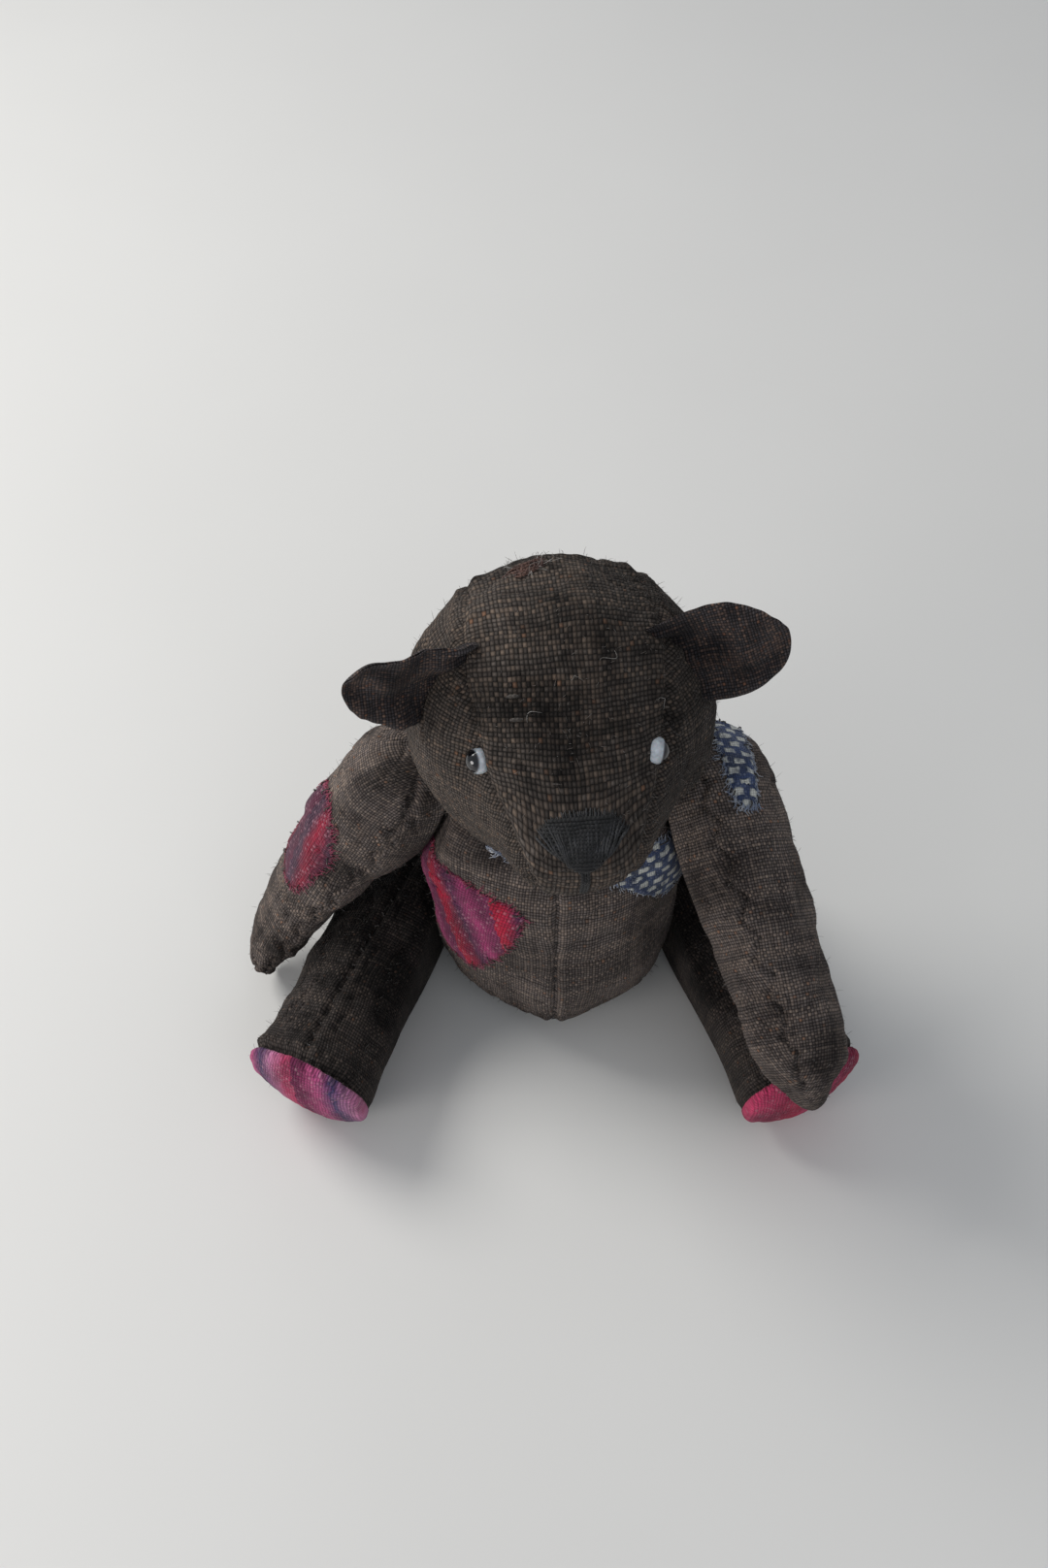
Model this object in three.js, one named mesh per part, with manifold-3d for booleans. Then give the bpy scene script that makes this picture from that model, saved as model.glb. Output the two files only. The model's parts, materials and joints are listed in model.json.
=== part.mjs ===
// A seated five-way jointed teddy bear, sewn from coarse dark linen and firmly stuffed.
// Millimetres, +Z up, the bear faces -Y and its own left side is +X.
// The origin is the middle of the flat seat, where the torso rests on the table.
import * as THREE from 'three';
import { mergeVertices } from 'three/addons/utils/BufferGeometryUtils.js';
import Module from 'manifold-3d';

const wasm = await Module();
wasm.setup();

const X = new THREE.Vector3(1, 0, 0);
const Y = new THREE.Vector3(0, 1, 0);
const Z = new THREE.Vector3(0, 0, 1);
const ORIGIN = new THREE.Vector3();

// ---------------------------------------------------------------- driving dimensions
const CLOTH = 0.8; // thickness of the sewn linen cover
const GAP = 0.3; // clearance kept between two pieces that touch
const SEAM_GAP = 0.3; // clearance between two panels along a seam
const PATCH = 0.7; // thickness of a mended patch
const HUGE = 400; // side of the boxes that cut solids
const DIMPLE_HEIGHT = 20; // of the cone that cuts a dimple
const DISC_BORE = 20; // half length of the cutter that bores the discs
const CLOTH_BORE = 5; // half length of the cutter that bores the cloth
const PATCH_DEPTH = 60; // how deep a patch's outline reaches
const STITCH_DEPTH = 20; // how deep the outline of the nose and mouth reaches

// How finely each shape is faceted.
const DETAIL = {
  torso: { rings: 9, segments: 16 },
  head: { rings: 10, segments: 16 },
  arm: { rings: 8, segments: 10 },
  leg: { rings: 9, segments: 10 },
  round: 12,
  small: 8,
};

const DISC_THICKNESS = 1.6; // hardboard joint disc
const PIN_RADIUS = 0.7;
const PIN_HOLE = 1.1; // hole radius through discs and cloth
const WASHER = { radius: 3.2, thickness: 0.6 };

const NECK = { position: [0, 2, 62], discRadius: 6.5 };
const HEAD_YAW = 0.1; // the head is turned a little to its own left
const SHOULDER = { position: [22.3, 4.1, 54.5], tilt: 0.38, discRadius: 6 };
const ARM_SWING = { left: -1.07, right: -0.08 }; // radians forward from hanging
const ARM_PRESS = { left: 0, right: 3 }; // how far a paw is flattened against the leg beside it
const HIP = { position: [20.2, 7.5, 13.6], yaw: 0.31, discRadius: 7, dimple: 15.5 };
const LEG_SWING = -Math.PI / 2; // legs lie forward along the table

const EYE_RADIUS = 2.5;
const EYE_WIRE = { radius: 1.1, wire: 0.4 };
const EYES = { left: [15.2, 18, 11.4], right: [-17, 16.8, 10.7] }; // side, forward, up

// Cross-sections of each stuffed body, one row each:
// [along, lift, shift, half width, above, below]. The first and last rows are the closed ends.
// Torso: along is up, lift and "above" are towards the front.
const TORSO = [
  [-4, 0, 0, 0, 0, 0],
  [-1.5, 0, 0, 14, 12, 15],
  [8, 0, 0, 23, 20.5, 22],
  [20, 0, 0, 25.5, 24, 23.5],
  [34, -0.5, 0, 26, 23.5, 22.5],
  [47, -2, 0, 28, 21, 19.5],
  [57, -2.5, 0, 25.5, 16, 16],
  [64, -2.5, 0, 14.5, 9.5, 10],
  [66.5, -2.5, 0, 0, 0, 0],
];
// The centre seam starts at the middle of the belly and runs a little askew under the seat.
const TORSO_SEAM = { front: -24, skew: -0.05, side: 2 };
// Head: along is forward from the middle of the skull, lift and "above" are up.
const HEAD = [
  [-28, 1, 0, 0, 0, 0],
  [-24, 1, 0, 15, 14.5, 14.5],
  [-13, 0, 0, 25.5, 24.5, 24.8],
  [0, 0, 0, 28, 27.5, 26.2],
  [10, 0, 0, 25.5, 24.5, 24],
  [18, 0, 0, 19.8, 17.5, 20],
  [25, 0, 0, 14.4, 11.5, 15.5],
  [31, 0, 0, 10.6, 7.5, 11.5],
  [34.5, 0, 0, 6.2, 4.5, 6.5],
  [35.5, 0, 0, 0, 0, 0],
];
// Arm: along is from the shoulder to the paw, lift and "above" are towards the front edge,
// shift and half width are across the flat of the arm, away from the torso.
const ARM = [
  [-12, 0, 8.5, 0, 0, 0],
  [-10, 0, 8.5, 6.5, 7, 7],
  [-3, 0, 8.7, 11.3, 12, 12],
  [9.5, 0, 9.8, 12.3, 12.5, 12.5],
  [25, 0, 12, 11, 11.8, 11.8],
  [41.5, 1, 14.2, 9.8, 10.2, 10.2],
  [54, 2.5, 15.6, 8.8, 8.4, 8.2],
  [60, 4, 16.2, 6, 5.6, 5],
  [65, 4.5, 16.2, 0, 0, 0],
];
// Leg: along is from the hip to the sole, "above" is the shin and toe side.
const LEG = [
  [-13.5, 0, 7, 0, 0, 0],
  [-11, 0, 7, 8, 8, 8],
  [-3, 0, 7.7, 12.8, 12.3, 13],
  [12, 0, 9.5, 13.6, 12.5, 13.3],
  [29, 0, 12, 12.6, 11.5, 13.3],
  [43, 0, 13, 12.6, 12.5, 13.3],
  [50.5, 0, 13.3, 13, 13.6, 13.3],
  [56, 0.5, 13.2, 11.6, 11.8, 12.4],
  [58.5, 0.5, 13.5, 0, 0, 0],
];
// The sole is sewn on here, across the leg but turned a little outwards and leaning over the heel.
const SOLE = { seam: 52.5, turn: -0.15, lean: 0.15, from: 28, axis: 13.5 };

// How far across the joint each limb's lengthwise seams lie.
const ARM_SEAM = 12;
const LEG_SEAM = 14;

// ---------------------------------------------------------------- solids and booleans
function toSolid(geometry) {
  const bare = new THREE.BufferGeometry();
  bare.setAttribute('position', geometry.getAttribute('position'));
  if (geometry.index) bare.setIndex(geometry.index);
  const merged = mergeVertices(bare, 1e-3);
  return new wasm.Manifold(new wasm.Mesh({
    numProp: 3,
    vertProperties: new Float32Array(merged.attributes.position.array),
    triVerts: new Uint32Array(merged.index.array),
  }));
}

function toGeometry(solid) {
  const mesh = solid.getMesh();
  const geometry = new THREE.BufferGeometry();
  geometry.setAttribute('position', new THREE.BufferAttribute(mesh.vertProperties, 3));
  geometry.setIndex(new THREE.BufferAttribute(mesh.triVerts, 1));
  geometry.computeVertexNormals();
  return geometry;
}

// The solid half of space on the far side of a plane from its normal.
function below(point, normal, offset = 0) {
  const box = new THREE.BoxGeometry(HUGE, HUGE, HUGE);
  box.translate(0, 0, -HUGE / 2 + offset);
  const turn = new THREE.Quaternion().setFromUnitVectors(new THREE.Vector3(0, 0, 1), normal);
  box.applyQuaternion(turn);
  box.translate(point.x, point.y, point.z);
  return toSolid(box);
}

// A round flat with a sloping wall round it, pressed in by the limb that is jointed there.
function dimple(flat, inwards) {
  const radius = flat.radius + inwards * (Math.SQRT2 - 1);
  const cone = new THREE.CylinderGeometry(radius + DIMPLE_HEIGHT, radius, DIMPLE_HEIGHT, DETAIL.round);
  cone.rotateX(Math.PI / 2);
  cone.translate(0, 0, DIMPLE_HEIGHT / 2 - inwards);
  cone.applyQuaternion(new THREE.Quaternion().setFromUnitVectors(Z, flat.normal));
  cone.translate(flat.point.x, flat.point.y, flat.point.z);
  return toSolid(cone);
}

// ---------------------------------------------------------------- stuffed bodies
// A smooth row of the station table, found with a Catmull-Rom spline. The rows beyond the closed
// ends are mirrored, so that the ends come out round.
function stationAt(rows, t) {
  const last = rows.length - 1;
  const row = (i) => {
    if (i < 0) return rows[1].map((v, k) => (k < 3 ? v : -v));
    if (i > last) return rows[last - 1].map((v, k) => (k < 3 ? v : -v));
    return rows[i];
  };
  const i = Math.min(Math.floor(t * last), last - 1);
  const u = t * last - i;
  const [a, b, c, d] = [row(i - 1), row(i), row(i + 1), row(i + 2)];
  return b.map((_, k) => 0.5 * (2 * b[k] + (c[k] - a[k]) * u
    + (2 * a[k] - 5 * b[k] + 4 * c[k] - d[k]) * u * u
    + (3 * b[k] - a[k] - 3 * c[k] + d[k]) * u * u * u));
}

// The closed surface through the stations. place(along, side, up) puts a point in the body's frame.
function loft(rows, { rings, segments, place }) {
  const points = [];
  const put = (along, side, up) => points.push(...place(along, side, up));
  put(rows[0][0], rows[0][2], rows[0][1]);
  for (let i = 1; i < rings; i++) {
    const [along, lift, shift, half, above, under] = stationAt(rows, i / rings);
    for (let j = 0; j < segments; j++) {
      const angle = (2 * Math.PI * j) / segments;
      const rise = Math.sin(angle);
      put(along, shift + half * Math.cos(angle), lift + rise * (rise > 0 ? above : under));
    }
  }
  const end = rows[rows.length - 1];
  put(end[0], end[2], end[1]);
  const index = [];
  const at = (ring, j) => 1 + (ring - 1) * segments + (j % segments);
  const tip = points.length / 3 - 1;
  for (let j = 0; j < segments; j++) {
    index.push(0, at(1, j + 1), at(1, j));
    for (let i = 1; i < rings - 1; i++) {
      index.push(at(i, j), at(i, j + 1), at(i + 1, j));
      index.push(at(i + 1, j), at(i, j + 1), at(i + 1, j + 1));
    }
    index.push(tip, at(rings - 1, j), at(rings - 1, j + 1));
  }
  const geometry = new THREE.BufferGeometry();
  geometry.setAttribute('position', new THREE.Float32BufferAttribute(points, 3));
  geometry.setIndex(index);
  if (toSolid(geometry).volume() < 0) geometry.setIndex(index.reverse());
  geometry.computeVertexNormals();
  return geometry;
}

// A stuffed body is its surface and the flats that its neighbours press into it. layer(depth) is
// the solid whose surface lies that deep under the outside; a negative depth stands proud.
function stuffedBody(surface, flats) {
  return {
    layer(depth) {
      const inwards = Math.max(depth, 0);
      const grown = surface.clone();
      const position = grown.getAttribute('position');
      const normal = surface.getAttribute('normal');
      for (let i = 0; i < position.count; i++) {
        position.setXYZ(i, position.getX(i) - depth * normal.getX(i),
          position.getY(i) - depth * normal.getY(i), position.getZ(i) - depth * normal.getZ(i));
      }
      return flats.reduce((solid, flat) => (flat.radius
        ? solid.subtract(dimple(flat, inwards))
        : solid.intersect(below(flat.point, flat.normal, -inwards))), toSolid(grown));
    },
  };
}

// ---------------------------------------------------------------- small shared shapes
function cylinderAlong(point, axis, from, to, radius, sides = DETAIL.round) {
  const cylinder = new THREE.CylinderGeometry(radius, radius, to - from, sides);
  cylinder.rotateX(Math.PI / 2);
  cylinder.translate(0, 0, (from + to) / 2);
  cylinder.applyQuaternion(new THREE.Quaternion().setFromUnitVectors(Z, axis));
  cylinder.translate(point.x, point.y, point.z);
  return toSolid(cylinder);
}

function sphereAt(point, radius, across = DETAIL.round, up = DETAIL.small) {
  const ball = new THREE.SphereGeometry(radius, across, up);
  ball.translate(point.x, point.y, point.z);
  return toSolid(ball);
}

// A prism that runs along an axis from the given point, with a closed outline of [a, b] points.
function prism(outline, point, axis, upwards, length) {
  const shape = new THREE.Shape();
  shape.setFromPoints(outline.map(([a, b]) => new THREE.Vector2(a, b)));
  const solid = new THREE.ExtrudeGeometry(shape, { depth: length, bevelEnabled: false });
  const side = new THREE.Vector3().crossVectors(upwards, axis).normalize();
  const up = new THREE.Vector3().crossVectors(axis, side);
  solid.applyMatrix4(new THREE.Matrix4().makeBasis(side, up, axis));
  solid.translate(point.x, point.y, point.z);
  return toSolid(solid);
}

function smoothOutline(points, count) {
  const curve = new THREE.CatmullRomCurve3(
    points.map(([a, b]) => new THREE.Vector3(a, b, 0)), true, 'centripetal');
  return curve.getPoints(count).slice(0, -1).map((p) => [p.x, p.y]);
}

// ---------------------------------------------------------------- materials
const cloth = (color) => new THREE.MeshStandardMaterial({ color, roughness: 0.95, metalness: 0 });
const material = {
  linen: cloth(0x3a312d),
  earLinen: cloth(0x2b2525),
  stuffing: cloth(0xd8cbb0),
  magenta: cloth(0x8e1f45),
  blue: cloth(0x8290a8),
  thread: cloth(0x17171a),
  eye: new THREE.MeshStandardMaterial({ color: 0xe8ecf2, roughness: 0.08, metalness: 0 }),
  board: cloth(0x8a6a48),
  steel: new THREE.MeshStandardMaterial({ color: 0x9a9a98, roughness: 0.35, metalness: 1 }),
};

const bear = new THREE.Group();

function addMesh(group, name, solid, finish) {
  const mesh = new THREE.Mesh(toGeometry(solid), finish);
  mesh.name = name;
  group.add(mesh);
  return mesh;
}

// ---------------------------------------------------------------- joints
// A joint is a point on the torso's surface and an axis that points out into the limb. Both are
// given in the bear's frame.
function shoulderJoint(side) {
  const [x, y, z] = SHOULDER.position;
  return {
    point: new THREE.Vector3(side * x, y, z),
    axis: new THREE.Vector3(side * Math.cos(SHOULDER.tilt), 0, Math.sin(SHOULDER.tilt)),
    discRadius: SHOULDER.discRadius,
  };
}

function hipJoint(side) {
  const [x, y, z] = HIP.position;
  return {
    point: new THREE.Vector3(side * x, y, z),
    axis: new THREE.Vector3(side * Math.cos(HIP.yaw), Math.sin(HIP.yaw), 0),
    discRadius: HIP.discRadius,
    dimple: HIP.dimple,
  };
}

const JOINTS = {
  neck: {
    point: new THREE.Vector3(...NECK.position),
    axis: Z.clone(),
    discRadius: NECK.discRadius,
  },
  shoulder_left: shoulderJoint(1),
  shoulder_right: shoulderJoint(-1),
  hip_left: hipJoint(1),
  hip_right: hipJoint(-1),
};

const DISC_START = GAP + CLOTH + GAP; // from the middle of the joint to a disc
const DISC_END = DISC_START + DISC_THICKNESS;
const EYE_LOOP = { reach: DISC_END + 2.4, radius: 1.2, wire: 0.55 };
const WASHER_END = DISC_END + GAP + WASHER.thickness;
const CURL = { start: WASHER_END + 2.2, radius: 1.5, wire: 0.45, turn: 1.35 * Math.PI };
const EYE_POCKET = { radius: 2.8, end: DISC_END + 5 };
const CURL_POCKET = { radius: 4.4, end: WASHER_END + 5 };

function joinAlong(joint, from, to, radius, sides) {
  return cylinderAlong(joint.point, joint.axis, from, to, radius, sides);
}

// The hole for the pin through the cloth on both sides of a joint.
function clothBore(joint) {
  return joinAlong(joint, -CLOTH_BORE, CLOTH_BORE, PIN_HOLE, DETAIL.small);
}

// What a joint takes out of the limb on its far side, and out of the torso on its near side.
function limbPocket(joint) {
  return joinAlong(joint, 0, DISC_END + GAP, joint.discRadius + GAP)
    .add(joinAlong(joint, 0, EYE_POCKET.end, EYE_POCKET.radius, DETAIL.small));
}

function torsoPocket(joint) {
  return joinAlong(joint, -DISC_END - GAP, 0, joint.discRadius + GAP)
    .add(joinAlong(joint, -CURL_POCKET.end, 0, CURL_POCKET.radius, DETAIL.small));
}

// A tube of wire along an arc that starts at the origin, heads down the axis and curls outwards.
function curledTail(direction) {
  class Curl extends THREE.Curve {
    getPoint(t, target = new THREE.Vector3()) {
      const angle = t * CURL.turn;
      return target.set(direction * CURL.radius * (1 - Math.cos(angle)), 0,
        -CURL.radius * Math.sin(angle));
    }
  }
  const section = new THREE.Shape().absarc(0, 0, CURL.wire, 0, 2 * Math.PI);
  return new THREE.ExtrudeGeometry(section,
    { steps: 5, curveSegments: 2, extrudePath: new Curl(), bevelEnabled: false });
}

// Cotter pin: a wire eye on the limb side, a shank through both discs, and two curled tails.
function cotterPin(joint) {
  const turn = new THREE.Quaternion().setFromUnitVectors(Z, joint.axis);
  const put = (geometry, lift) => {
    geometry.translate(0, 0, lift);
    geometry.applyQuaternion(turn);
    geometry.translate(joint.point.x, joint.point.y, joint.point.z);
    return toSolid(geometry);
  };
  const eye = new THREE.TorusGeometry(EYE_LOOP.radius, EYE_LOOP.wire, 5, DETAIL.small).rotateX(Math.PI / 2);
  return joinAlong(joint, -CURL.start, EYE_LOOP.reach - EYE_LOOP.radius, PIN_RADIUS, DETAIL.small)
    .add(put(eye, EYE_LOOP.reach))
    .add(put(curledTail(1), -CURL.start + GAP))
    .add(put(curledTail(-1), -CURL.start + GAP));
}

function addJointHardware(name, joint, groups) {
  const bore = joinAlong(joint, -DISC_BORE, DISC_BORE, PIN_HOLE, DETAIL.small);
  const disc = (from, to) => joinAlong(joint, from, to, joint.discRadius).subtract(bore);
  addMesh(groups.limb, `${name}_outer_disc`, disc(DISC_START, DISC_END), material.board);
  addMesh(groups.torso, `${name}_inner_disc`, disc(-DISC_END, -DISC_START), material.board);
  const washer = joinAlong(joint, -WASHER_END, -DISC_END - GAP, WASHER.radius).subtract(bore);
  addMesh(groups.torso, `${name}_washer`, washer, material.steel);
  addMesh(groups.limb, `${name}_cotter_pin`, cotterPin(joint), material.steel);
}

// ---------------------------------------------------------------- mended patches
// A patch is a raised piece of a body's surface inside an outline, which is drawn on a plane that
// faces along an axis. direction() turns [across, front, up] into the body's own frame.
const TORSO_PATCHES = [
  {
    name: 'belly_patch',
    cloth: 'magenta',
    outline: [[11, 43.5], [3, 25], [-9.5, 29], [-15, 48], [-2, 48]],
    centre: [0, 0, 0],
    axis: [-0.75, 0.66, 0],
  },
  {
    name: 'chest_patch',
    cloth: 'blue',
    outline: [[-15, 57.5], [-9, 54.5], [5, 50.5], [19, 41], [23, 50], [15, 56.5], [0, 58]],
    centre: [0, 0, 0],
    axis: [0.3, 0.95, 0],
  },
];
const ARM_PATCHES = {
  left: {
    name: 'shoulder_patch',
    cloth: 'blue',
    outline: [[-1.5, -9], [3, -9], [3.4, 10], [-1.6, 10]],
    centre: [12, 0, 0],
    axis: [0.3, 0.85, 0.45],
  },
  right: {
    name: 'arm_patch',
    cloth: 'magenta',
    outline: [[-7, -10], [6, -11], [7, 8], [-5, 10]],
    centre: [12, 0, -19],
    axis: [1, 0.25, 0],
  },
};

function patchOn(body, patch, direction) {
  const axis = direction(...patch.axis).normalize();
  const outline = smoothOutline(patch.outline, 14);
  return body.layer(-GAP - PATCH).subtract(body.layer(-GAP))
    .intersect(prism(outline, direction(...patch.centre), axis, direction(0, 0, 1), PATCH_DEPTH));
}

// ---------------------------------------------------------------- torso
const torsoGroup = new THREE.Group();
bear.add(torsoGroup);

// The lower front comes to a soft ridge where the two front panels meet.
function torsoPoint(along, side, up) {
  const ridge = up > 0 ? 2.2 * Math.exp(-((side / 7) ** 2)) * Math.exp(-(((along - 14) / 16) ** 2)) : 0;
  return [side, -up - ridge, along];
}

const torsoFlats = [
  { point: ORIGIN, normal: Z.clone().negate() },
  ...Object.values(JOINTS).map((joint) => ({
    point: joint.point.clone().addScaledVector(joint.axis, -GAP / 2),
    normal: joint.axis,
    radius: joint.dimple,
  })),
];
const torso = stuffedBody(
  loft(TORSO, { ...DETAIL.torso, place: torsoPoint }), torsoFlats);

function torsoPanels() {
  const pockets = Object.values(JOINTS).map((joint) => clothBore(joint));
  const shell = pockets.reduce((solid, hole) => solid.subtract(hole),
    torso.layer(0).subtract(torso.layer(CLOTH)));
  const frontSeam = new THREE.Vector3(0, TORSO_SEAM.front, 0);
  const seamAcross = X.clone().applyAxisAngle(Z, TORSO_SEAM.skew);
  const sideSeam = new THREE.Vector3(0, TORSO_SEAM.side, 0);
  for (const [end, depth] of [['front', -1], ['back', 1]]) {
    for (const [name, side] of [['left', 1], ['right', -1]]) {
      const panel = shell
        .intersect(below(frontSeam, seamAcross.clone().multiplyScalar(-side), -SEAM_GAP / 2))
        .intersect(below(sideSeam, Y.clone().multiplyScalar(-depth), -SEAM_GAP / 2));
      addMesh(torsoGroup, `torso_${end}_${name}`, panel, material.linen);
    }
  }
}
torsoPanels();

const torsoFill = Object.values(JOINTS).reduce(
  (solid, joint) => solid.subtract(torsoPocket(joint)), torso.layer(CLOTH + GAP));
addMesh(torsoGroup, 'torso_stuffing', torsoFill, material.stuffing);
for (const patch of TORSO_PATCHES) {
  const direction = (across, front, up) => new THREE.Vector3(across, -front, up);
  addMesh(torsoGroup, patch.name, patchOn(torso, patch, direction), material[patch.cloth]);
}

// ---------------------------------------------------------------- head
const headGroup = new THREE.Group();
bear.add(headGroup);

const SKULL = { lift: 24.8, forward: 4 }; // middle of the skull, above and in front of the neck
const headTurn = new THREE.Quaternion().setFromAxisAngle(Z, HEAD_YAW);

function headPoint(side, forward, up) {
  return new THREE.Vector3(side, -forward - SKULL.forward, up + SKULL.lift)
    .applyQuaternion(headTurn).add(JOINTS.neck.point);
}

function headDirection(side, forward, up) {
  return new THREE.Vector3(side, -forward, up).normalize().applyQuaternion(headTurn);
}

const head = stuffedBody(
  loft(HEAD, {
    ...DETAIL.head,
    place: (along, side, up) => headPoint(side, along, up).toArray(),
  }),
  [{
    point: JOINTS.neck.point.clone().addScaledVector(JOINTS.neck.axis, GAP / 2),
    normal: JOINTS.neck.axis.clone().negate(),
  }],
);

const eyeCentres = [EYES.left, EYES.right].map((place) => headPoint(...place));

// Half width of the gusset at an angle round the head's middle, from the nose over the crown.
const GUSSET_CUT = { near: 2, far: 70, drop: 6 }; // the cutter's reach, and how far its middle is lowered
const GUSSET = [[-0.32, 5], [0.1, 8.5], [0.7, 15.5], [1.5, 17.5], [2.3, 15], [3, 9], [3.9, 4]];

function gussetCutter(extra) {
  const rows = GUSSET.map(([angle, half]) => [angle, half + extra]);
  const points = [];
  for (const [angle, half] of rows) {
    for (const reach of [GUSSET_CUT.near, GUSSET_CUT.far]) {
      for (const side of [-1, 1]) {
        const up = reach * Math.sin(angle) - GUSSET_CUT.drop;
        points.push(...headPoint(side * half, reach * Math.cos(angle), up).toArray());
      }
    }
  }
  const index = [];
  const quad = (a, b, c, d) => index.push(a, b, c, a, c, d);
  const last = 4 * (rows.length - 1);
  quad(0, 2, 3, 1);
  quad(last, last + 1, last + 3, last + 2);
  for (let k = 0; k < last; k += 4) {
    quad(k, k + 1, k + 5, k + 4);
    quad(k + 2, k + 6, k + 7, k + 3);
    quad(k, k + 4, k + 6, k + 2);
    quad(k + 1, k + 3, k + 7, k + 5);
  }
  const geometry = new THREE.BufferGeometry();
  geometry.setAttribute('position', new THREE.Float32BufferAttribute(points, 3));
  geometry.setIndex(index);
  const solid = toSolid(geometry);
  if (solid.volume() > 0) return solid;
  geometry.setIndex(index.reverse());
  return toSolid(geometry);
}

function headPanels() {
  const sockets = eyeCentres.map((centre) => sphereAt(centre, EYE_RADIUS + GAP));
    const shell = sockets.reduce((solid, socket) => solid.subtract(socket),
    head.layer(0).subtract(head.layer(CLOTH)).subtract(clothBore(JOINTS.neck)));
  addMesh(headGroup, 'head_gusset', shell.intersect(gussetCutter(-SEAM_GAP / 2)), material.linen);
  const cheeks = shell.subtract(gussetCutter(SEAM_GAP / 2));
  for (const [name, side] of [['left', 1], ['right', -1]]) {
    const half = below(headPoint(0, 0, 0), headDirection(-side, 0, 0), -SEAM_GAP / 2);
    addMesh(headGroup, `head_side_${name}`, cheeks.intersect(half), material.linen);
  }
}
headPanels();

// Each glass eye has a wire loop behind it, sewn into the stuffing.
function wireCentre(centre, k) {
  return centre.clone().addScaledVector(headDirection(k ? 1 : -1, -0.6, -0.4),
    EYE_RADIUS + GAP + EYE_WIRE.radius + EYE_WIRE.wire);
}

const headFill = eyeCentres.reduce((solid, centre, k) => solid
  .subtract(sphereAt(centre, EYE_RADIUS + GAP))
  .subtract(sphereAt(wireCentre(centre, k), EYE_WIRE.radius + EYE_WIRE.wire + GAP)),
head.layer(CLOTH + GAP).subtract(limbPocket(JOINTS.neck)));
addMesh(headGroup, 'head_stuffing', headFill, material.stuffing);
eyeCentres.forEach((centre, k) => {
  const name = ['left', 'right'][k];
  const loop = new THREE.TorusGeometry(EYE_WIRE.radius, EYE_WIRE.wire, 5, DETAIL.small);
  loop.rotateX(Math.PI / 2).applyQuaternion(headTurn);
  const middle = wireCentre(centre, k);
  loop.translate(middle.x, middle.y, middle.z);
  addMesh(headGroup, `eye_${name}`, sphereAt(centre, EYE_RADIUS), material.eye);
  addMesh(headGroup, `eye_wire_${name}`, toSolid(loop), material.steel);
});

// ---------------------------------------------------------------- ears
// Ear: a cupped leaf of two cloth layers. Its outline is drawn flat, from the base outwards.
const EAR = {
  outline: [[-8, -5], [-9, 3], [-8.2, 10], [-4.8, 15.8], [0.6, 18.2], [6, 16.2], [9, 9.5], [9, 1], [7.5, -5]],
  middle: 6,
  cup: 0.028,
  layer: 0.75,
  side: 20.5,
  forward: 2,
  up: 17,
};

// One cloth layer, lying between two depths behind the ear's front face.
function earLayer(frame, near, far) {
  const rim = smoothOutline(EAR.outline, 16);
  const rings = 2;
  const points = [];
  const face = (depth) => {
    const first = points.length / 3;
    const put = (a, b) => {
      const bend = EAR.cup * a * a;
      points.push(...new THREE.Vector3(a, bend + depth, b).applyMatrix4(frame).toArray());
    };
    put(0, EAR.middle);
    for (let ring = 1; ring <= rings; ring++) {
      for (const [a, b] of rim) put((a * ring) / rings, EAR.middle + ((b - EAR.middle) * ring) / rings);
    }
    return first;
  };
  const n = rim.length;
  const front = face(near);
  const back = face(far);
  const index = [];
  const at = (first, ring, j) => first + 1 + (ring - 1) * n + (j % n);
  for (let j = 0; j < n; j++) {
    index.push(front, at(front, 1, j), at(front, 1, j + 1));
    index.push(back, at(back, 1, j + 1), at(back, 1, j));
    for (let ring = 1; ring < rings; ring++) {
      const [a, b, c, d] = [at(front, ring, j), at(front, ring, j + 1), at(front, ring + 1, j),
        at(front, ring + 1, j + 1)];
      index.push(a, c, b, b, c, d);
      const shiftTo = back - front;
      index.push(a + shiftTo, b + shiftTo, c + shiftTo, b + shiftTo, d + shiftTo, c + shiftTo);
    }
    const [a, b] = [at(front, rings, j), at(front, rings, j + 1)];
    const [c, d] = [at(back, rings, j), at(back, rings, j + 1)];
    index.push(a, c, b, b, c, d);
  }
  const geometry = new THREE.BufferGeometry();
  geometry.setAttribute('position', new THREE.Float32BufferAttribute(points, 3));
  geometry.setIndex(index);
  const solid = toSolid(geometry);
  if (solid.volume() > 0) return solid;
  geometry.setIndex(index.reverse());
  return toSolid(geometry);
}

// Directions of each ear in the head's frame: its tip, and the way its cupped front faces.
const EAR_AIM = {
  left: { tip: [0.92, 0.14, 0.36], face: [-0.25, 0.93, 0.28] },
  right: { tip: [-0.96, 0.27, 0.1], face: [0, 1, 0] },
};

function addEar(name, side) {
  const up = headDirection(...EAR_AIM[name].tip);
  const face = headDirection(...EAR_AIM[name].face);
  const across = new THREE.Vector3().crossVectors(up, face).normalize();
  const back = new THREE.Vector3().crossVectors(across, up);
  const frame = new THREE.Matrix4().makeBasis(across, back, up)
    .setPosition(headPoint(side * EAR.side, EAR.forward, EAR.up));
  const skull = head.layer(-GAP);
  addMesh(headGroup, `ear_front_${name}`, earLayer(frame, 0, EAR.layer).subtract(skull),
    material.earLinen);
  addMesh(headGroup, `ear_back_${name}`,
    earLayer(frame, EAR.layer + GAP, 2 * EAR.layer + GAP).subtract(skull), material.earLinen);
}
addEar('left', 1);
addEar('right', -1);

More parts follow.
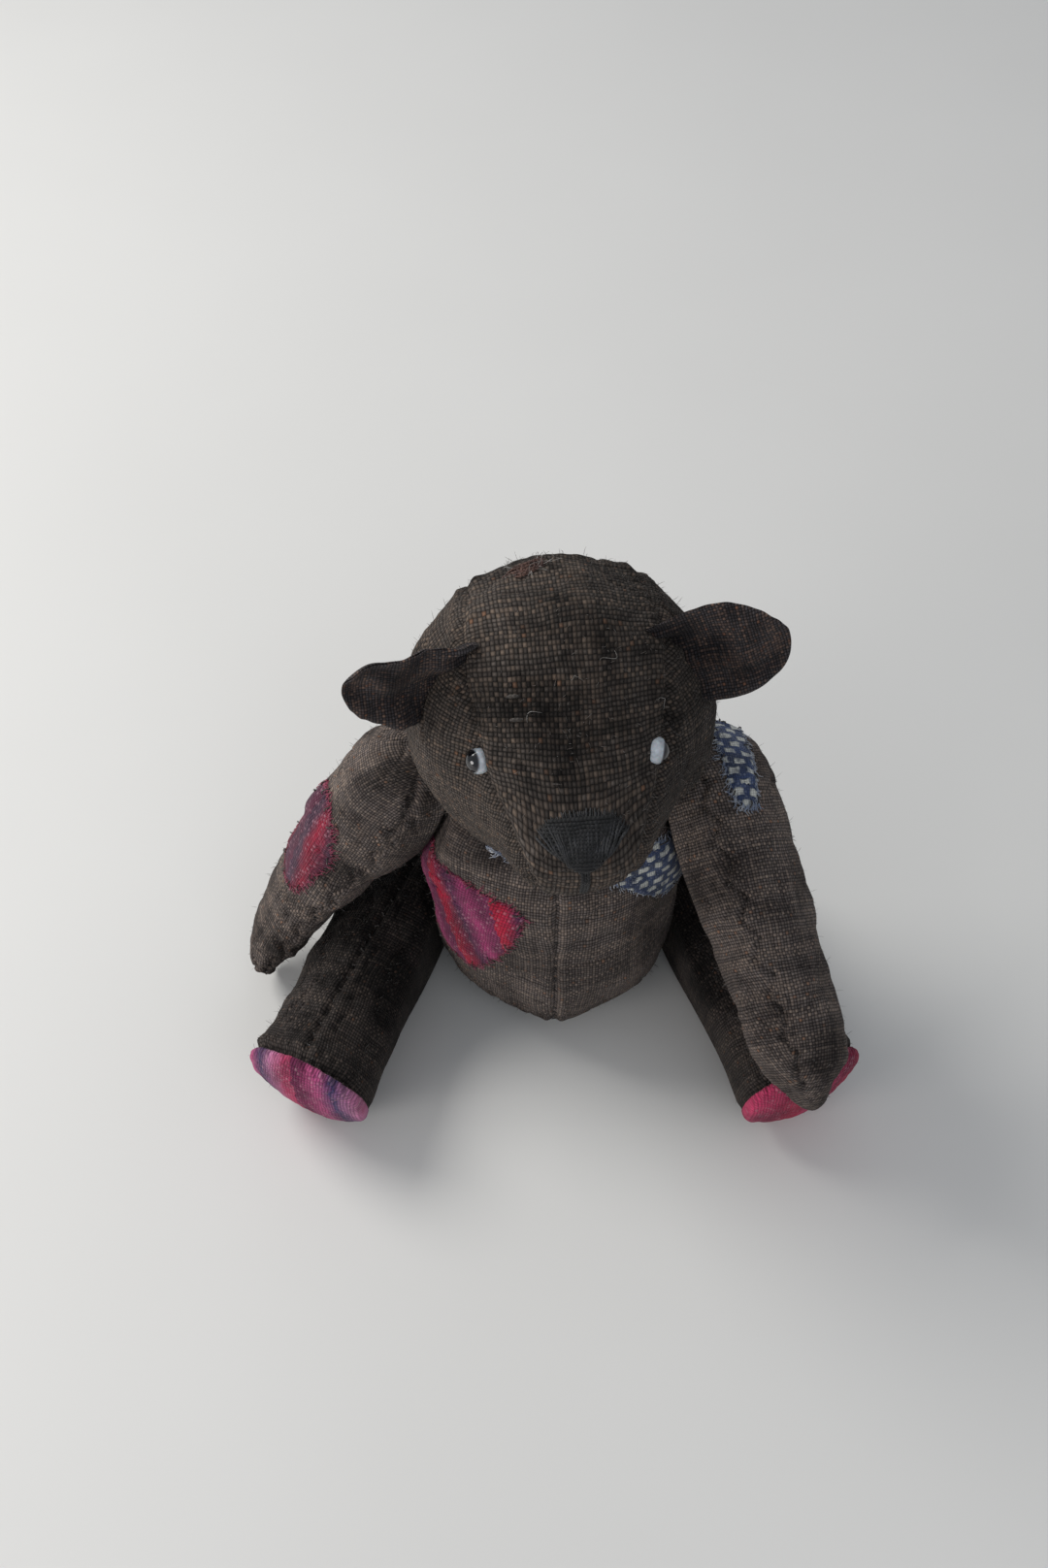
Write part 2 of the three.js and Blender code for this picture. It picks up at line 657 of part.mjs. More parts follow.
// ---------------------------------------------------------------- nose and mouth stitches
const NOSE_OUTLINE = [[-7.4, 5], [0, 6], [7.4, 5], [5.6, -0.5], [2.4, -4.2], [-2.4, -4.2], [-5.6, -0.5]];
const MOUTH_OUTLINE = [[-0.6, -9.5], [0.6, -9.5], [0.6, -5], [-0.6, -5]];
const NOSE_MIDDLE = [0, 28.5, 2];
const NOSE_THICKNESS = 1;
const MOUTH_THICKNESS = 0.6;
const noseAxis = headDirection(0, 0.8, 0.6);

function onHead(outline, thickness) {
  return head.layer(-GAP - thickness).subtract(head.layer(-GAP))
    .intersect(prism(outline, headPoint(...NOSE_MIDDLE), noseAxis, headDirection(0, 0, 1), STITCH_DEPTH));
}
addMesh(headGroup, 'nose_stitches', onHead(smoothOutline(NOSE_OUTLINE, 14), NOSE_THICKNESS), material.thread);
addMesh(headGroup, 'mouth_stitch', onHead(MOUTH_OUTLINE, MOUTH_THICKNESS), material.thread);

// ---------------------------------------------------------------- limbs
// A limb's frame: X is across the joint, away from the bear's middle on the left side, -Z runs
// down the limb and -Y is its front edge.
function limbPlace(side) {
  return (along, across, up) => [side * across, -up, -along];
}

function limbDirection(side) {
  return (across, front, up) => new THREE.Vector3(side * across, -front, up);
}

function limbFrame(joint, turn) {
  const group = new THREE.Group();
  group.position.copy(joint.point);
  group.quaternion.copy(turn);
  group.updateMatrix();
  return group;
}

// The world's joint, plane or point, seen from inside a limb's group.
function localJoint(joint, group) {
  const back = group.quaternion.clone().invert();
  return { point: ORIGIN, axis: joint.axis.clone().applyQuaternion(back), discRadius: joint.discRadius };
}

function localPlane(group, point, normal) {
  const back = group.quaternion.clone().invert();
  return {
    point: point.clone().sub(group.position).applyQuaternion(back),
    normal: normal.clone().applyQuaternion(back),
  };
}

function addArm(name, side) {
  const joint = JOINTS[`shoulder_${name}`];
  const turn = new THREE.Quaternion().setFromAxisAngle(Y, -side * SHOULDER.tilt)
    .multiply(new THREE.Quaternion().setFromAxisAngle(X, ARM_SWING[name]));
  const group = limbFrame(joint, turn);
  const local = localJoint(joint, group);
  const pressed = ARM.map(([along, lift, shift, half, above, under]) => {
    const press = ARM_PRESS[name] * THREE.MathUtils.smoothstep(along, 5, 42) * (half > 0);
    return [along, lift, shift + press, half - press, above, under];
  });
  const arm = stuffedBody(loft(pressed, { ...DETAIL.arm, place: limbPlace(side) }),
    [{ point: local.axis.clone().multiplyScalar(GAP / 2), normal: local.axis.clone().negate() }]);
  const shell = arm.layer(0).subtract(arm.layer(CLOTH)).subtract(clothBore(local));
  const seam = new THREE.Vector3(side * ARM_SEAM, 0, 0);
  const outwards = X.clone().multiplyScalar(side);
  addMesh(group, `arm_${name}_outer`, shell.intersect(below(seam, outwards.clone().negate(), -SEAM_GAP / 2)),
    material.linen);
  addMesh(group, `arm_${name}_inner`, shell.intersect(below(seam, outwards, -SEAM_GAP / 2)), material.linen);
  addMesh(group, `arm_${name}_stuffing`, arm.layer(CLOTH + GAP).subtract(limbPocket(local)),
    material.stuffing);
  const patch = ARM_PATCHES[name];
  addMesh(group, patch.name, patchOn(arm, patch, limbDirection(side)), material[patch.cloth]);
  bear.add(group);
}

function addLeg(name, side) {
  const joint = JOINTS[`hip_${name}`];
  const turn = new THREE.Quaternion().setFromAxisAngle(Z, side * HIP.yaw)
    .multiply(new THREE.Quaternion().setFromAxisAngle(X, LEG_SWING));
  const group = limbFrame(joint, turn);
  const local = localJoint(joint, group);
  const ground = localPlane(group, ORIGIN, Z.clone().negate());
  const place = limbPlace(side);
  const footPlace = (along, across, up) => {
    const foot = THREE.MathUtils.smoothstep(along, SOLE.from, SOLE.seam);
    return place(along + foot * (SOLE.turn * (across - SOLE.axis) + SOLE.lean * up), across, up);
  };
  const leg = stuffedBody(loft(LEG, { ...DETAIL.leg, place: footPlace }), [
    { point: local.axis.clone().multiplyScalar(GAP / 2), normal: local.axis.clone().negate() },
    ground,
  ]);
  const shell = leg.layer(0).subtract(leg.layer(CLOTH)).subtract(clothBore(local));
  const soleSeam = new THREE.Vector3(...place(SOLE.seam, SOLE.axis, 0));
  const soleAxis = new THREE.Vector3(-side * SOLE.turn, SOLE.lean, -1).normalize();
  const upper = shell.intersect(below(soleSeam, soleAxis, -SEAM_GAP / 2));
  const seam = new THREE.Vector3(side * LEG_SEAM, 0, 0);
  const outwards = X.clone().multiplyScalar(side);
  addMesh(group, `leg_${name}_outer`, upper.intersect(below(seam, outwards.clone().negate(), -SEAM_GAP / 2)),
    material.linen);
  addMesh(group, `leg_${name}_inner`, upper.intersect(below(seam, outwards, -SEAM_GAP / 2)), material.linen);
  addMesh(group, `sole_${name}`, shell.intersect(below(soleSeam, soleAxis.clone().negate(), -SEAM_GAP / 2)),
    material.magenta);
  addMesh(group, `leg_${name}_stuffing`, leg.layer(CLOTH + GAP).subtract(limbPocket(local)),
    material.stuffing);
  bear.add(group);
  return group;
}

addArm('left', 1);
addArm('right', -1);
addLeg('left', 1);
addLeg('right', -1);

for (const [name, joint] of Object.entries(JOINTS)) {
  addJointHardware(name, joint, { limb: bear, torso: torsoGroup });
}

export default bear;
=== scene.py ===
"""Looks of a worn, seated, five-way jointed teddy bear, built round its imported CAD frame.

Shapes are worked out in millimetres in the frame's axes (+Z up, the bear faces -Y, its own left is +X)
and become metres when a mesh is made. Every stuffed body repeats the station table of its CAD solid,
and is then pressed flat at its joints, gathered at its seams and creased.
"""
import json
import math

import bpy
import numpy as np
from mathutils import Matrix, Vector
from mathutils.bvhtree import BVHTree


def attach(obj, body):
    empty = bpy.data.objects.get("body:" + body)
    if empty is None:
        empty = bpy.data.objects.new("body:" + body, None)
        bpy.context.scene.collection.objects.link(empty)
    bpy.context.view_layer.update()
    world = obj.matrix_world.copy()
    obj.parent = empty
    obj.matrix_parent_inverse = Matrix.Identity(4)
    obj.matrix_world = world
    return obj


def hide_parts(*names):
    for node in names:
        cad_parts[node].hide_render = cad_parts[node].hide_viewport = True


MM = 0.001
TAU = 2 * math.pi
SEED = 41

# ---------------------------------------------------------------- driving values, in millimetres
SIDES = {"left": 1, "right": -1}
HEAD_YAW = 0.1
SKULL = {"lift": 24.8, "forward": 4}
SHOULDER_TILT = 0.38
ARM_SWING = {"left": -1.07, "right": -0.08}
ARM_PRESS = {"left": 0, "right": 3}
HIP_YAW = 0.31
DIMPLE_RADIUS = 15.5
FRONT, BACK = TAU / 4, 3 * TAU / 4  # angles round a cover
JOINT_GAP = 0.35  # from the middle of a joint to the cloth on each side of it
SOLE = {"seam": 52.5, "turn": -0.15, "lean": 0.15, "from": 28, "axis": 13.5}
EYE_RADIUS = 2.5
EYES = {"left": (15.2, 18, 11.4), "right": (-17, 16.8, 10.7)}
EYE_AIM = {"left": (0.97, 0.2, -0.1), "right": (-0.9, 0.35, 0.35)}

# Rows: along, lift, shift, half width, above, below. The first and last rows are the closed ends.
TORSO = [
    (-4, 0, 0, 0, 0, 0), (-1.5, 0, 0, 14, 12, 15), (8, 0, 0, 23, 20.5, 22), (20, 0, 0, 25.5, 24, 23.5),
    (34, -0.5, 0, 26, 23.5, 22.5), (47, -2, 0, 28, 21, 19.5), (57, -2.5, 0, 25.5, 16, 16),
    (64, -2.5, 0, 14.5, 9.5, 10), (66.5, -2.5, 0, 0, 0, 0),
]
HEAD = [
    (-28, 1, 0, 0, 0, 0), (-24, 1, 0, 15, 14.5, 14.5), (-13, 0, 0, 25.5, 24.5, 24.8),
    (0, 0, 0, 28, 27.5, 26.2), (10, 0, 0, 25.5, 24.5, 24), (18, 0, 0, 19.8, 17.5, 20),
    (25, 0, 0, 14.4, 11.5, 15.5), (31, 0, 0, 10.6, 7.5, 11.5), (34.5, 0, 0, 6.2, 4.5, 6.5),
    (35.5, 0, 0, 0, 0, 0),
]
ARM = [
    (-12, 0, 8.5, 0, 0, 0), (-10, 0, 8.5, 6.5, 7, 7), (-3, 0, 8.7, 11.3, 12, 12),
    (9.5, 0, 9.8, 12.3, 12.5, 12.5), (25, 0, 12, 11, 11.8, 11.8), (41.5, 1, 14.2, 9.8, 10.2, 10.2),
    (54, 2.5, 15.6, 8.8, 8.4, 8.2), (60, 4, 16.2, 6, 5.6, 5), (65, 4.5, 16.2, 0, 0, 0),
]
LEG = [
    (-13.5, 0, 7, 0, 0, 0), (-11, 0, 7, 8, 8, 8), (-3, 0, 7.7, 12.8, 12.3, 13),
    (12, 0, 9.5, 13.6, 12.5, 13.3), (29, 0, 12, 12.6, 11.5, 13.3), (43, 0, 13, 12.6, 12.5, 13.3),
    (50.5, 0, 13.3, 13, 13.6, 13.3), (56, 0.5, 13.2, 11.6, 11.8, 12.4), (58.5, 0.5, 13.5, 0, 0, 0),
]
# Half width of the head's gusset at an angle round the skull, from the nose over the crown to the neck.
GUSSET = [(-0.75, 0), (-0.32, 5), (0.1, 8.5), (0.7, 15.5), (1.5, 17.5), (2.3, 15), (3, 9), (3.9, 4), (4.2, 0)]
GUSSET_DROP = 6
EAR_OUTLINE = [
    (-8, -5), (-9, 3), (-8.2, 10), (-4.8, 15.8), (0.6, 18.2), (6, 16.2), (9, 9.5), (9, 1), (7.5, -5),
]
EAR = {"cup": 0.028, "layer": 0.75, "side": 20.5, "forward": 2, "up": 17, "middle": 6}
EAR_AIM = {
    "left": {"tip": (0.92, 0.14, 0.36), "face": (-0.25, 0.93, 0.28)},
    "right": {"tip": (-0.96, 0.27, 0.1), "face": (0, 1, 0)},
}
NOSE_MIDDLE = (0, 28.5, 2)
EYE_RISE = -0.85  # from the cloth to the middle of the bead, which is drawn into its socket
PUPIL = 0.9  # radians from the eye's axis to the pupil's edge
# On the head, as side, forward and up from the middle of the skull; lint has its size too.
DARN = (-4.6, -12.6, 23.2)
LINT = [
    (-2.4, -12, 24, 5.5), (6.3, 8, 24, 3), (0.8, 11.4, 22.8, 2.2), (-6.6, 15.2, 19, 3), (15, 12.4, 16.6, 2.4),
]
SLUBS = [(-9.5, 15, 18.3), (-9.7, 11.9, 20.6)]

# Rings along each cover and points round each ring.
GRID = {"torso": (190, 320), "head": (230, 330), "arm": (190, 180), "leg": (200, 190)}
EAR_GRID = (26, 150)
PATCH_GRID = (24, 132)
EYE_GRID = (40, 56)
# Distance between the threads of each cloth, and the radius of each kind of thread.
PITCH = {"head": 0.76, "body": 0.6, "leg": 0.6, "ear": 0.5, "wool": 0.62, "cotton": 0.42}
THREAD = {"pad": 0.42, "mouth": 0.32, "fray": 0.075, "sewn": 0.14, "seam": 0.13, "darn": 0.17, "loose": 0.05,
          "lint": 0.035, "slub": 0.34}
PATCH_THICKNESS = 0.5
SOLE_THICKNESS = 0.8

# Lights and camera, in metres. A light is its name, place, size, power in watts and colour.
LIGHTS = [
    ("key", (-0.5, 0.28, 0.55), 0.4, 4.2, (1.0, 0.99, 0.96)),
    ("fill", (0.3, -0.5, 0.5), 0.5, 0.5, (0.9, 0.95, 1.0)),
    ("side", (-0.42, -0.28, 0.16), 0.22, 0.95, (1.0, 0.97, 0.95)),
]
LIGHTS_MEET = (0, 0, 0.05)
SKY = {"Color": (0.8, 0.84, 0.9, 1), "Strength": 0.52}
CAMERA = {"place": (-0.00626, -0.1849, 0.3187), "aim": (0, 0.58496, -0.81106), "lens": 37.87}
FLOOR_REACH = 900
FLOOR_LEVEL = -0.1


# ---------------------------------------------------------------- small vector helpers
def unit(v):
    v = np.asarray(v, float)
    return v / np.maximum(np.linalg.norm(v, axis=-1, keepdims=True), 1e-9)


def turn(axis, angle):
    """The matrix that turns about one of the frame's axes, 0, 1 or 2."""
    c, s = math.cos(angle), math.sin(angle)
    i, j = [(1, 2), (2, 0), (0, 1)][axis]
    m = np.eye(3)
    m[i, i] = m[j, j] = c
    m[j, i], m[i, j] = s, -s
    return m


def smooth(x, start, end):
    x = np.clip((np.asarray(x, float) - start) / (end - start), 0, 1)
    return x * x * (3 - 2 * x)


def bell(x, width):
    return np.exp(-((x / width) ** 2))


def waves(points, size, seed, count=16, stretch=(1, 1, 1)):
    """Smooth noise about zero, with a spread of about one, from seeded waves of roughly that size."""
    rng = np.random.default_rng(SEED + seed)
    heading = unit(rng.normal(size=(count, 3))) * TAU / (size * rng.uniform(0.7, 1.6, (count, 1)))
    phase = rng.uniform(0, TAU, count)
    return np.cos((points * np.array(stretch)) @ heading.T + phase).sum(-1) * math.sqrt(2 / count)


def spline(a, b, c, d, u):
    """A Catmull-Rom curve from b to c."""
    return 0.5 * (2 * b + (c - a) * u + (2 * a - 5 * b + 4 * c - d) * u**2 + (3 * b - a - 3 * c + d) * u**3)


def smooth_outline(points, count):
    """A closed Catmull-Rom curve through the points."""
    p = np.array(points, float)
    n = len(p)
    t = np.linspace(0, n, count, endpoint=False)
    i = np.floor(t).astype(int)
    u = (t - i)[:, None]
    return spline(*(p[(i + k) % n] for k in (-1, 0, 1, 2)), u)


# ---------------------------------------------------------------- meshes
def make_piece(name, points, faces, material, uv=None, tone=None, smooth_shade=True):
    """A mesh object from points in millimetres, with a [u, v] for each corner and a tone for each point."""
    mesh = bpy.data.meshes.new(name)
    mesh.from_pydata((np.asarray(points) * MM).tolist(), [], [list(f) for f in faces])
    if uv is not None:
        layer = mesh.uv_layers.new(name="cloth")
        layer.data.foreach_set("uv", np.asarray(uv, np.float32).ravel())
    if tone is not None:
        attribute = mesh.attributes.new("tone", "FLOAT", "POINT")
        attribute.data.foreach_set("value", np.asarray(tone, np.float32))
    mesh.polygons.foreach_set("use_smooth", [smooth_shade] * len(mesh.polygons))
    mesh.materials.append(material)
    piece = bpy.data.objects.new(name, mesh)
    bpy.context.scene.collection.objects.link(piece)
    return piece


def facing_out(points, faces):
    """The faces of a closed mesh, turned over if the volume inside them comes out negative."""
    a, b, c, d = (points[[f[k] for f in faces]] for k in (0, 1, 2, -1))
    volume = (a * (np.cross(b, c) + np.cross(c, d))).sum()
    return [f[::-1] for f in faces] if volume < 0 else faces


def corners(values, faces):
    """The value of each point, repeated for each corner of each face."""
    return np.array([values[v] for f in faces for v in f])


def grid_list(grid):
    """A grid of rings as one list, with one point for each closed end."""
    return np.concatenate([grid[0, :1], grid[1:-1].reshape(-1, *grid.shape[2:]), grid[-1, :1]])


def grid_faces(rings, m):
    """Triangles at the two closed ends of a grid of rings, and quads between."""
    j = np.arange(m)
    k = (j + 1) % m
    last = 1 + (rings - 2) * m
    low = 1 + np.arange(rings - 2)[:, None] * m
    start = np.stack([np.zeros(m, int), 1 + k, 1 + j], 1)
    end = np.stack([np.full(m, last + m), last + j, last + k], 1)
    quads = np.stack([low + j, low + k, low + m + k, low + m + j], -1).reshape(-1, 4)
    return start.tolist() + quads.tolist() + end.tolist()


def grid_normals(points):
    round_ring = np.roll(points, -1, 1) - np.roll(points, 1, 1)
    normal = np.cross(round_ring, np.gradient(points, axis=0))
    if ((points - points.mean(axis=1, keepdims=True)) * normal).sum() < 0:
        normal = -normal
    normal[0] = normal[1].mean(axis=0)
    normal[-1] = normal[-2].mean(axis=0)
    return unit(normal)


def disc_list(grid):
    """A disc of rings as one list, with one point in the middle."""
    return np.concatenate([grid[0, :1], grid[1:].reshape(-1, grid.shape[-1])])


def sheet_faces(rings, m):
    """The faces of a thin closed sheet: two discs of rings round a middle point, and the rim between them."""
    faces = []
    count, edge = 1 + rings * m, 1 + (rings - 1) * m
    for base, turned in ((0, False), (count, True)):
        for j in range(m):
            k = (j + 1) % m
            group = [(base, base + 1 + j, base + 1 + k)]
            for low in range(base + 1, base + edge, m):
                group.append((low + j, low + m + j, low + m + k, low + k))
            faces += [f[::-1] for f in group] if turned else group
    for j in range(m):
        k = (j + 1) % m
        faces.append((edge + j, count + edge + j, count + edge + k, edge + k))
    return faces


def tube_mesh(paths, radius, sides=5, taper=0.5):
    """Closed thin tubes along equally long lists of points, as one set of points and faces."""
    paths = np.asarray(paths, float)
    count, steps = paths.shape[:2]
    around = np.arange(sides) * TAU / sides
    along = unit(np.gradient(paths, axis=1))
    across = unit(np.cross(along, (0.31, 0.52, 0.8)))
    other = np.cross(along, across)
    thin = 1 - (1 - taper) * np.abs(np.linspace(-1, 1, steps)) ** 3
    size = np.broadcast_to(np.asarray(radius, float), count)[:, None] * thin[None]
    ring = across[:, :, None] * np.cos(around)[:, None] + other[:, :, None] * np.sin(around)[:, None]
    points = (paths[:, :, None] + ring * size[:, :, None, None]).reshape(-1, 3)
    reach = np.concatenate([np.zeros((count, 1)),
                            np.cumsum(np.linalg.norm(np.diff(paths, axis=1), axis=-1), axis=1)], axis=1)
    tube, step, j = np.meshgrid(np.arange(count), np.arange(steps - 1), np.arange(sides), indexing="ij")
    k = (j + 1) % sides
    low = (tube * steps + step) * sides
    quads = np.stack([low + j, low + k, low + sides + k, low + sides + j], -1).reshape(-1, 4)
    near, far = reach[tube, step], reach[tube, step + 1]
    uv = np.stack([np.stack([j, near], -1), np.stack([j + 1, near], -1), np.stack([j + 1, far], -1),
                   np.stack([j, far], -1)], -2).reshape(-1, 2)
    first = (np.arange(count) * steps * sides)[:, None]
    caps = np.concatenate([first + np.arange(sides)[::-1], first + (steps - 1) * sides + np.arange(sides)])
    uv = np.concatenate([uv, np.zeros((caps.size, 2))])
    return points, quads.tolist() + caps.tolist(), uv


def add_tubes(name, paths, radius, material, body, sides=5, taper=0.5):
    points, faces, uv = tube_mesh(paths, radius, sides, taper)
    piece = make_piece(name, points, faces, material, uv)
    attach(piece, body)
    return piece


# ---------------------------------------------------------------- stuffed bodies
def stations(rows, count):
    """Rows of a station table, evenly spread along it by a Catmull-Rom spline with mirrored ends."""
    table = np.array(rows, float)
    flip = np.array([1, 1, 1, -1, -1, -1])
    padded = np.vstack([table[1] * flip, table, table[-2] * flip])
    last = len(table) - 1
    t = np.linspace(0, 1, count + 1)
    i = np.minimum(np.floor(t * last).astype(int), last - 1)
    u = (t * last - i)[:, None]
    return spline(*(padded[i + k] for k in range(4)), u)


def stitch_groove(offset, run, depth, pitch=2.6):
    """A seam drawn in by its stitches, with the cloth puffing up and puckering on both sides."""
    pucker = 1 + 0.35 * np.cos(TAU * run / pitch)
    near = np.abs(offset)
    puff = 0.26 * bell(near - 1.7, 1.0) * (1 + 0.8 * np.cos(TAU * run / pitch + 1))
    return -depth * bell(near, 0.6) * pucker + puff


class Cover:
    """The cloth cover of one stuffed body, as a grid of rings along it and points round each ring."""

    def __init__(self, name, body, rows, place, flats, rings, segments, seams, panels):
        self.name, self.body, self.flats = name, body, flats
        self.rings, self.segments = rings, segments
        along, lift, shift, half, above, under = stations(rows, rings).T
        self.angle = np.linspace(0, TAU, segments, endpoint=False)
        rise = np.sin(self.angle)[None]
        up = lift[:, None] + rise * np.where(rise > 0, above[:, None], under[:, None])
        side = shift[:, None] + half[:, None] * np.cos(self.angle)[None]
        self.along = np.broadcast_to(along[:, None], side.shape)
        self.side, self.up = side, up
        self.points, self.pressed = self.press(place(self.along, side, up))
        self.measure(seams, panels)

    def press(self, points, softness=0.5):
        """The points pushed back to the flats, and how firmly each is pressed, from 0 to 1."""
        pressed = np.zeros(points.shape[:-1])
        for flat in self.flats:
            height = (points - flat["point"]) @ flat["normal"]
            if flat.get("radius"):
                out = points - flat["point"] - height[..., None] * flat["normal"]
                limit = np.maximum(np.linalg.norm(out, axis=-1) - flat["radius"], 0)
            else:
                limit = 0
            over = (height - limit) / softness
            push = np.where(over > 30, over, np.log1p(np.exp(np.minimum(over, 30)))) * softness
            points = points - push[..., None] * flat["normal"]
            pressed = np.maximum(pressed, smooth(over, -6, 1))
        return points, pressed

    def measure(self, seams, panels):
        """Normals, distances round the rings and along the body, and cloth coordinates for each panel."""
        p = self.points
        self.normal = grid_normals(p)
        step = np.linalg.norm(np.roll(p, -1, 1) - p, axis=-1)
        arc = np.concatenate([np.zeros((len(p), 1)), np.cumsum(step, axis=1)], axis=1)
        self.arc, self.round = arc[:, :-1], arc[:, -1:]
        self.run = np.concatenate([np.zeros((1, self.segments)),
                                   np.cumsum(np.linalg.norm(np.diff(p, axis=0), axis=-1), axis=0)])
        self.seam_offset = [self.from_column(angle) for angle in seams]
        self.panels = panels
        self.maps = [np.stack([self.from_column(angle),
                               np.broadcast_to(self.run[:, self.column(angle)][:, None], self.arc.shape)], -1)
                     for angle in panels]

    def column(self, angle):
        return int(round(angle / TAU * self.segments)) % self.segments

    def from_column(self, angle):
        """Signed distance round each ring from the column at an angle."""
        away = self.arc - self.arc[:, [self.column(angle)]]
        return (away + self.round / 2) % np.maximum(self.round, 1e-6) - self.round / 2

    def move(self, distance, free=True):
        """Moves the cloth along its normals, less where it is pressed, and presses it back."""
        distance = distance * (1 - self.pressed) if free else distance
        moved = self.points + self.normal * distance[..., None]
        moved, _ = self.press(moved, 0.15)
        moved[0], moved[-1] = moved[0].mean(axis=0), moved[-1].mean(axis=0)
        self.points = moved
        self.normal = grid_normals(moved)

    def cloth_map(self, faces, panel_of, maps):
        """One cloth coordinate for each corner, from the panel that its face belongs to."""
        panel = grid_list(panel_of)
        flat_maps = [grid_list(m) for m in maps]
        uv = []
        for f in faces:
            chosen = flat_maps[int(panel[f[0]])]
            uv += [chosen[v] for v in f]
        return np.array(uv)

    def panel_grid(self):
        """Which panel each column belongs to: the one whose middle is nearest."""
        away = np.abs((self.angle[:, None] - np.array(self.panels)[None] + math.pi) % TAU - math.pi)
        return np.broadcast_to(np.argmin(away, axis=1)[None], self.arc.shape)

    def build(self, material, slot, nodes, tone, fill=0.95, panel_of=None, maps=None):
        points = grid_list(self.points)
        faces = facing_out(points, grid_faces(self.rings, self.segments))
        panel_of = self.panel_grid() if panel_of is None else panel_of
        uv = self.cloth_map(faces, panel_of, self.maps if maps is None else maps)
        piece = make_piece(self.name, points, faces, material, uv, grid_list(np.clip(tone, 0, 1)))
        self.tree = BVHTree.FromPolygons([Vector(p) for p in points], faces)
        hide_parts(*nodes)
        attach(piece, self.body)
        return piece

    def onto(self, point, lift=0.0):
        """The nearest point of the finished cloth, raised by lift, and the cloth's normal there."""
        place, normal, _, _ = self.tree.find_nearest(Vector(point))
        return np.array(place) + lift * np.array(normal), np.array(normal)

    def struck(self, start, direction):
        """Where a line from outside meets the finished cloth, or None."""
        place, normal, _, _ = self.tree.ray_cast(Vector(start), Vector(direction))
        return (None, None) if place is None else (np.array(place), np.array(normal))


# ---------------------------------------------------------------- materials
class Graph:
    """A material's nodes, written as sums."""

    def __init__(self, name, roughness=0.95, **settings):
        self.material = bpy.data.materials.new(name)
        self.material.use_nodes = True
        self.tree = self.material.node_tree
        self.shader = self.tree.nodes["Principled BSDF"]
        self.set(self.shader, "Roughness", roughness)
        for key, value in settings.items():
            self.set(self.shader, key.replace("_", " "), value)

    def set(self, node, key, value):
        if isinstance(value, bpy.types.NodeSocket):
            self.tree.links.new(value, node.inputs[key])
        else:
            node.inputs[key].default_value = value

    def node(self, kind, inputs=(), **settings):
        made = self.tree.nodes.new(kind)
        for key, value in settings.items():
            setattr(made, key, value)
        for key, value in dict(inputs).items():
            self.set(made, key, value)
        return made

    def math(self, operation, *values):
        return self.node("ShaderNodeMath", enumerate(values), operation=operation).outputs[0]

    def plus(self, a, b):
        return self.math("ADD", a, b)

    def minus(self, a, b):
        return self.math("SUBTRACT", a, b)

    def times(self, a, b):
        return self.math("MULTIPLY", a, b)

    def over(self, a, b):
        return self.math("DIVIDE", a, b)

    def clamp(self, value, low=0.0, high=1.0, to_low=0.0, to_high=1.0):
        inputs = {"Value": value, "From Min": low, "From Max": high, "To Min": to_low, "To Max": to_high}
        return self.node("ShaderNodeMapRange", inputs).outputs[0]

    def noise(self, vector, scale, detail=2.0, **settings):
        inputs = {"Vector": vector, "Scale": scale, "Detail": detail}
        return self.node("ShaderNodeTexNoise", inputs, **settings).outputs[0]

    def random(self, vector):
        made = self.node("ShaderNodeTexWhiteNoise", {"Vector": vector}, noise_dimensions="3D")
        return made.outputs["Value"]

    def vector(self, x=0.0, y=0.0, z=0.0):
        return self.node("ShaderNodeCombineXYZ", {"X": x, "Y": y, "Z": z}).outputs[0]

    def split(self, vector):
        return self.node("ShaderNodeSeparateXYZ", {"Vector": vector}).outputs[:3]

    def mix(self, share, a, b, blend="MIX"):
        made = self.node("ShaderNodeMix", data_type="RGBA", blend_type=blend)
        for key, value in ((0, share), (6, a), (7, b)):
            self.set(made, key, (*value, 1) if isinstance(value, tuple) else value)
        return made.outputs[2]

    def darken(self, colour, shade):
        return self.mix(1.0, colour, self.vector(shade, shade, shade), "MULTIPLY")

    def place(self):
        """Object coordinates in millimetres."""
        where = self.node("ShaderNodeTexCoord").outputs["Object"]
        inputs = {0: where, 1: (1000, 1000, 1000)}
        return self.node("ShaderNodeVectorMath", inputs, operation="MULTIPLY").outputs[0]

    def cloth(self):
        return self.node("ShaderNodeUVMap", uv_map="cloth").outputs[0]

    def attribute(self, name):
        return self.node("ShaderNodeAttribute", attribute_name=name).outputs["Fac"]

    def finish(self, colour, height=None, depth=0.2):
        self.set(self.shader, "Base Color", colour)
        if height is not None:
            bump = self.node("ShaderNodeBump", {"Height": height, "Strength": 1.0, "Distance": depth * MM})
            self.set(self.shader, "Normal", bump.outputs[0])
        return self.material


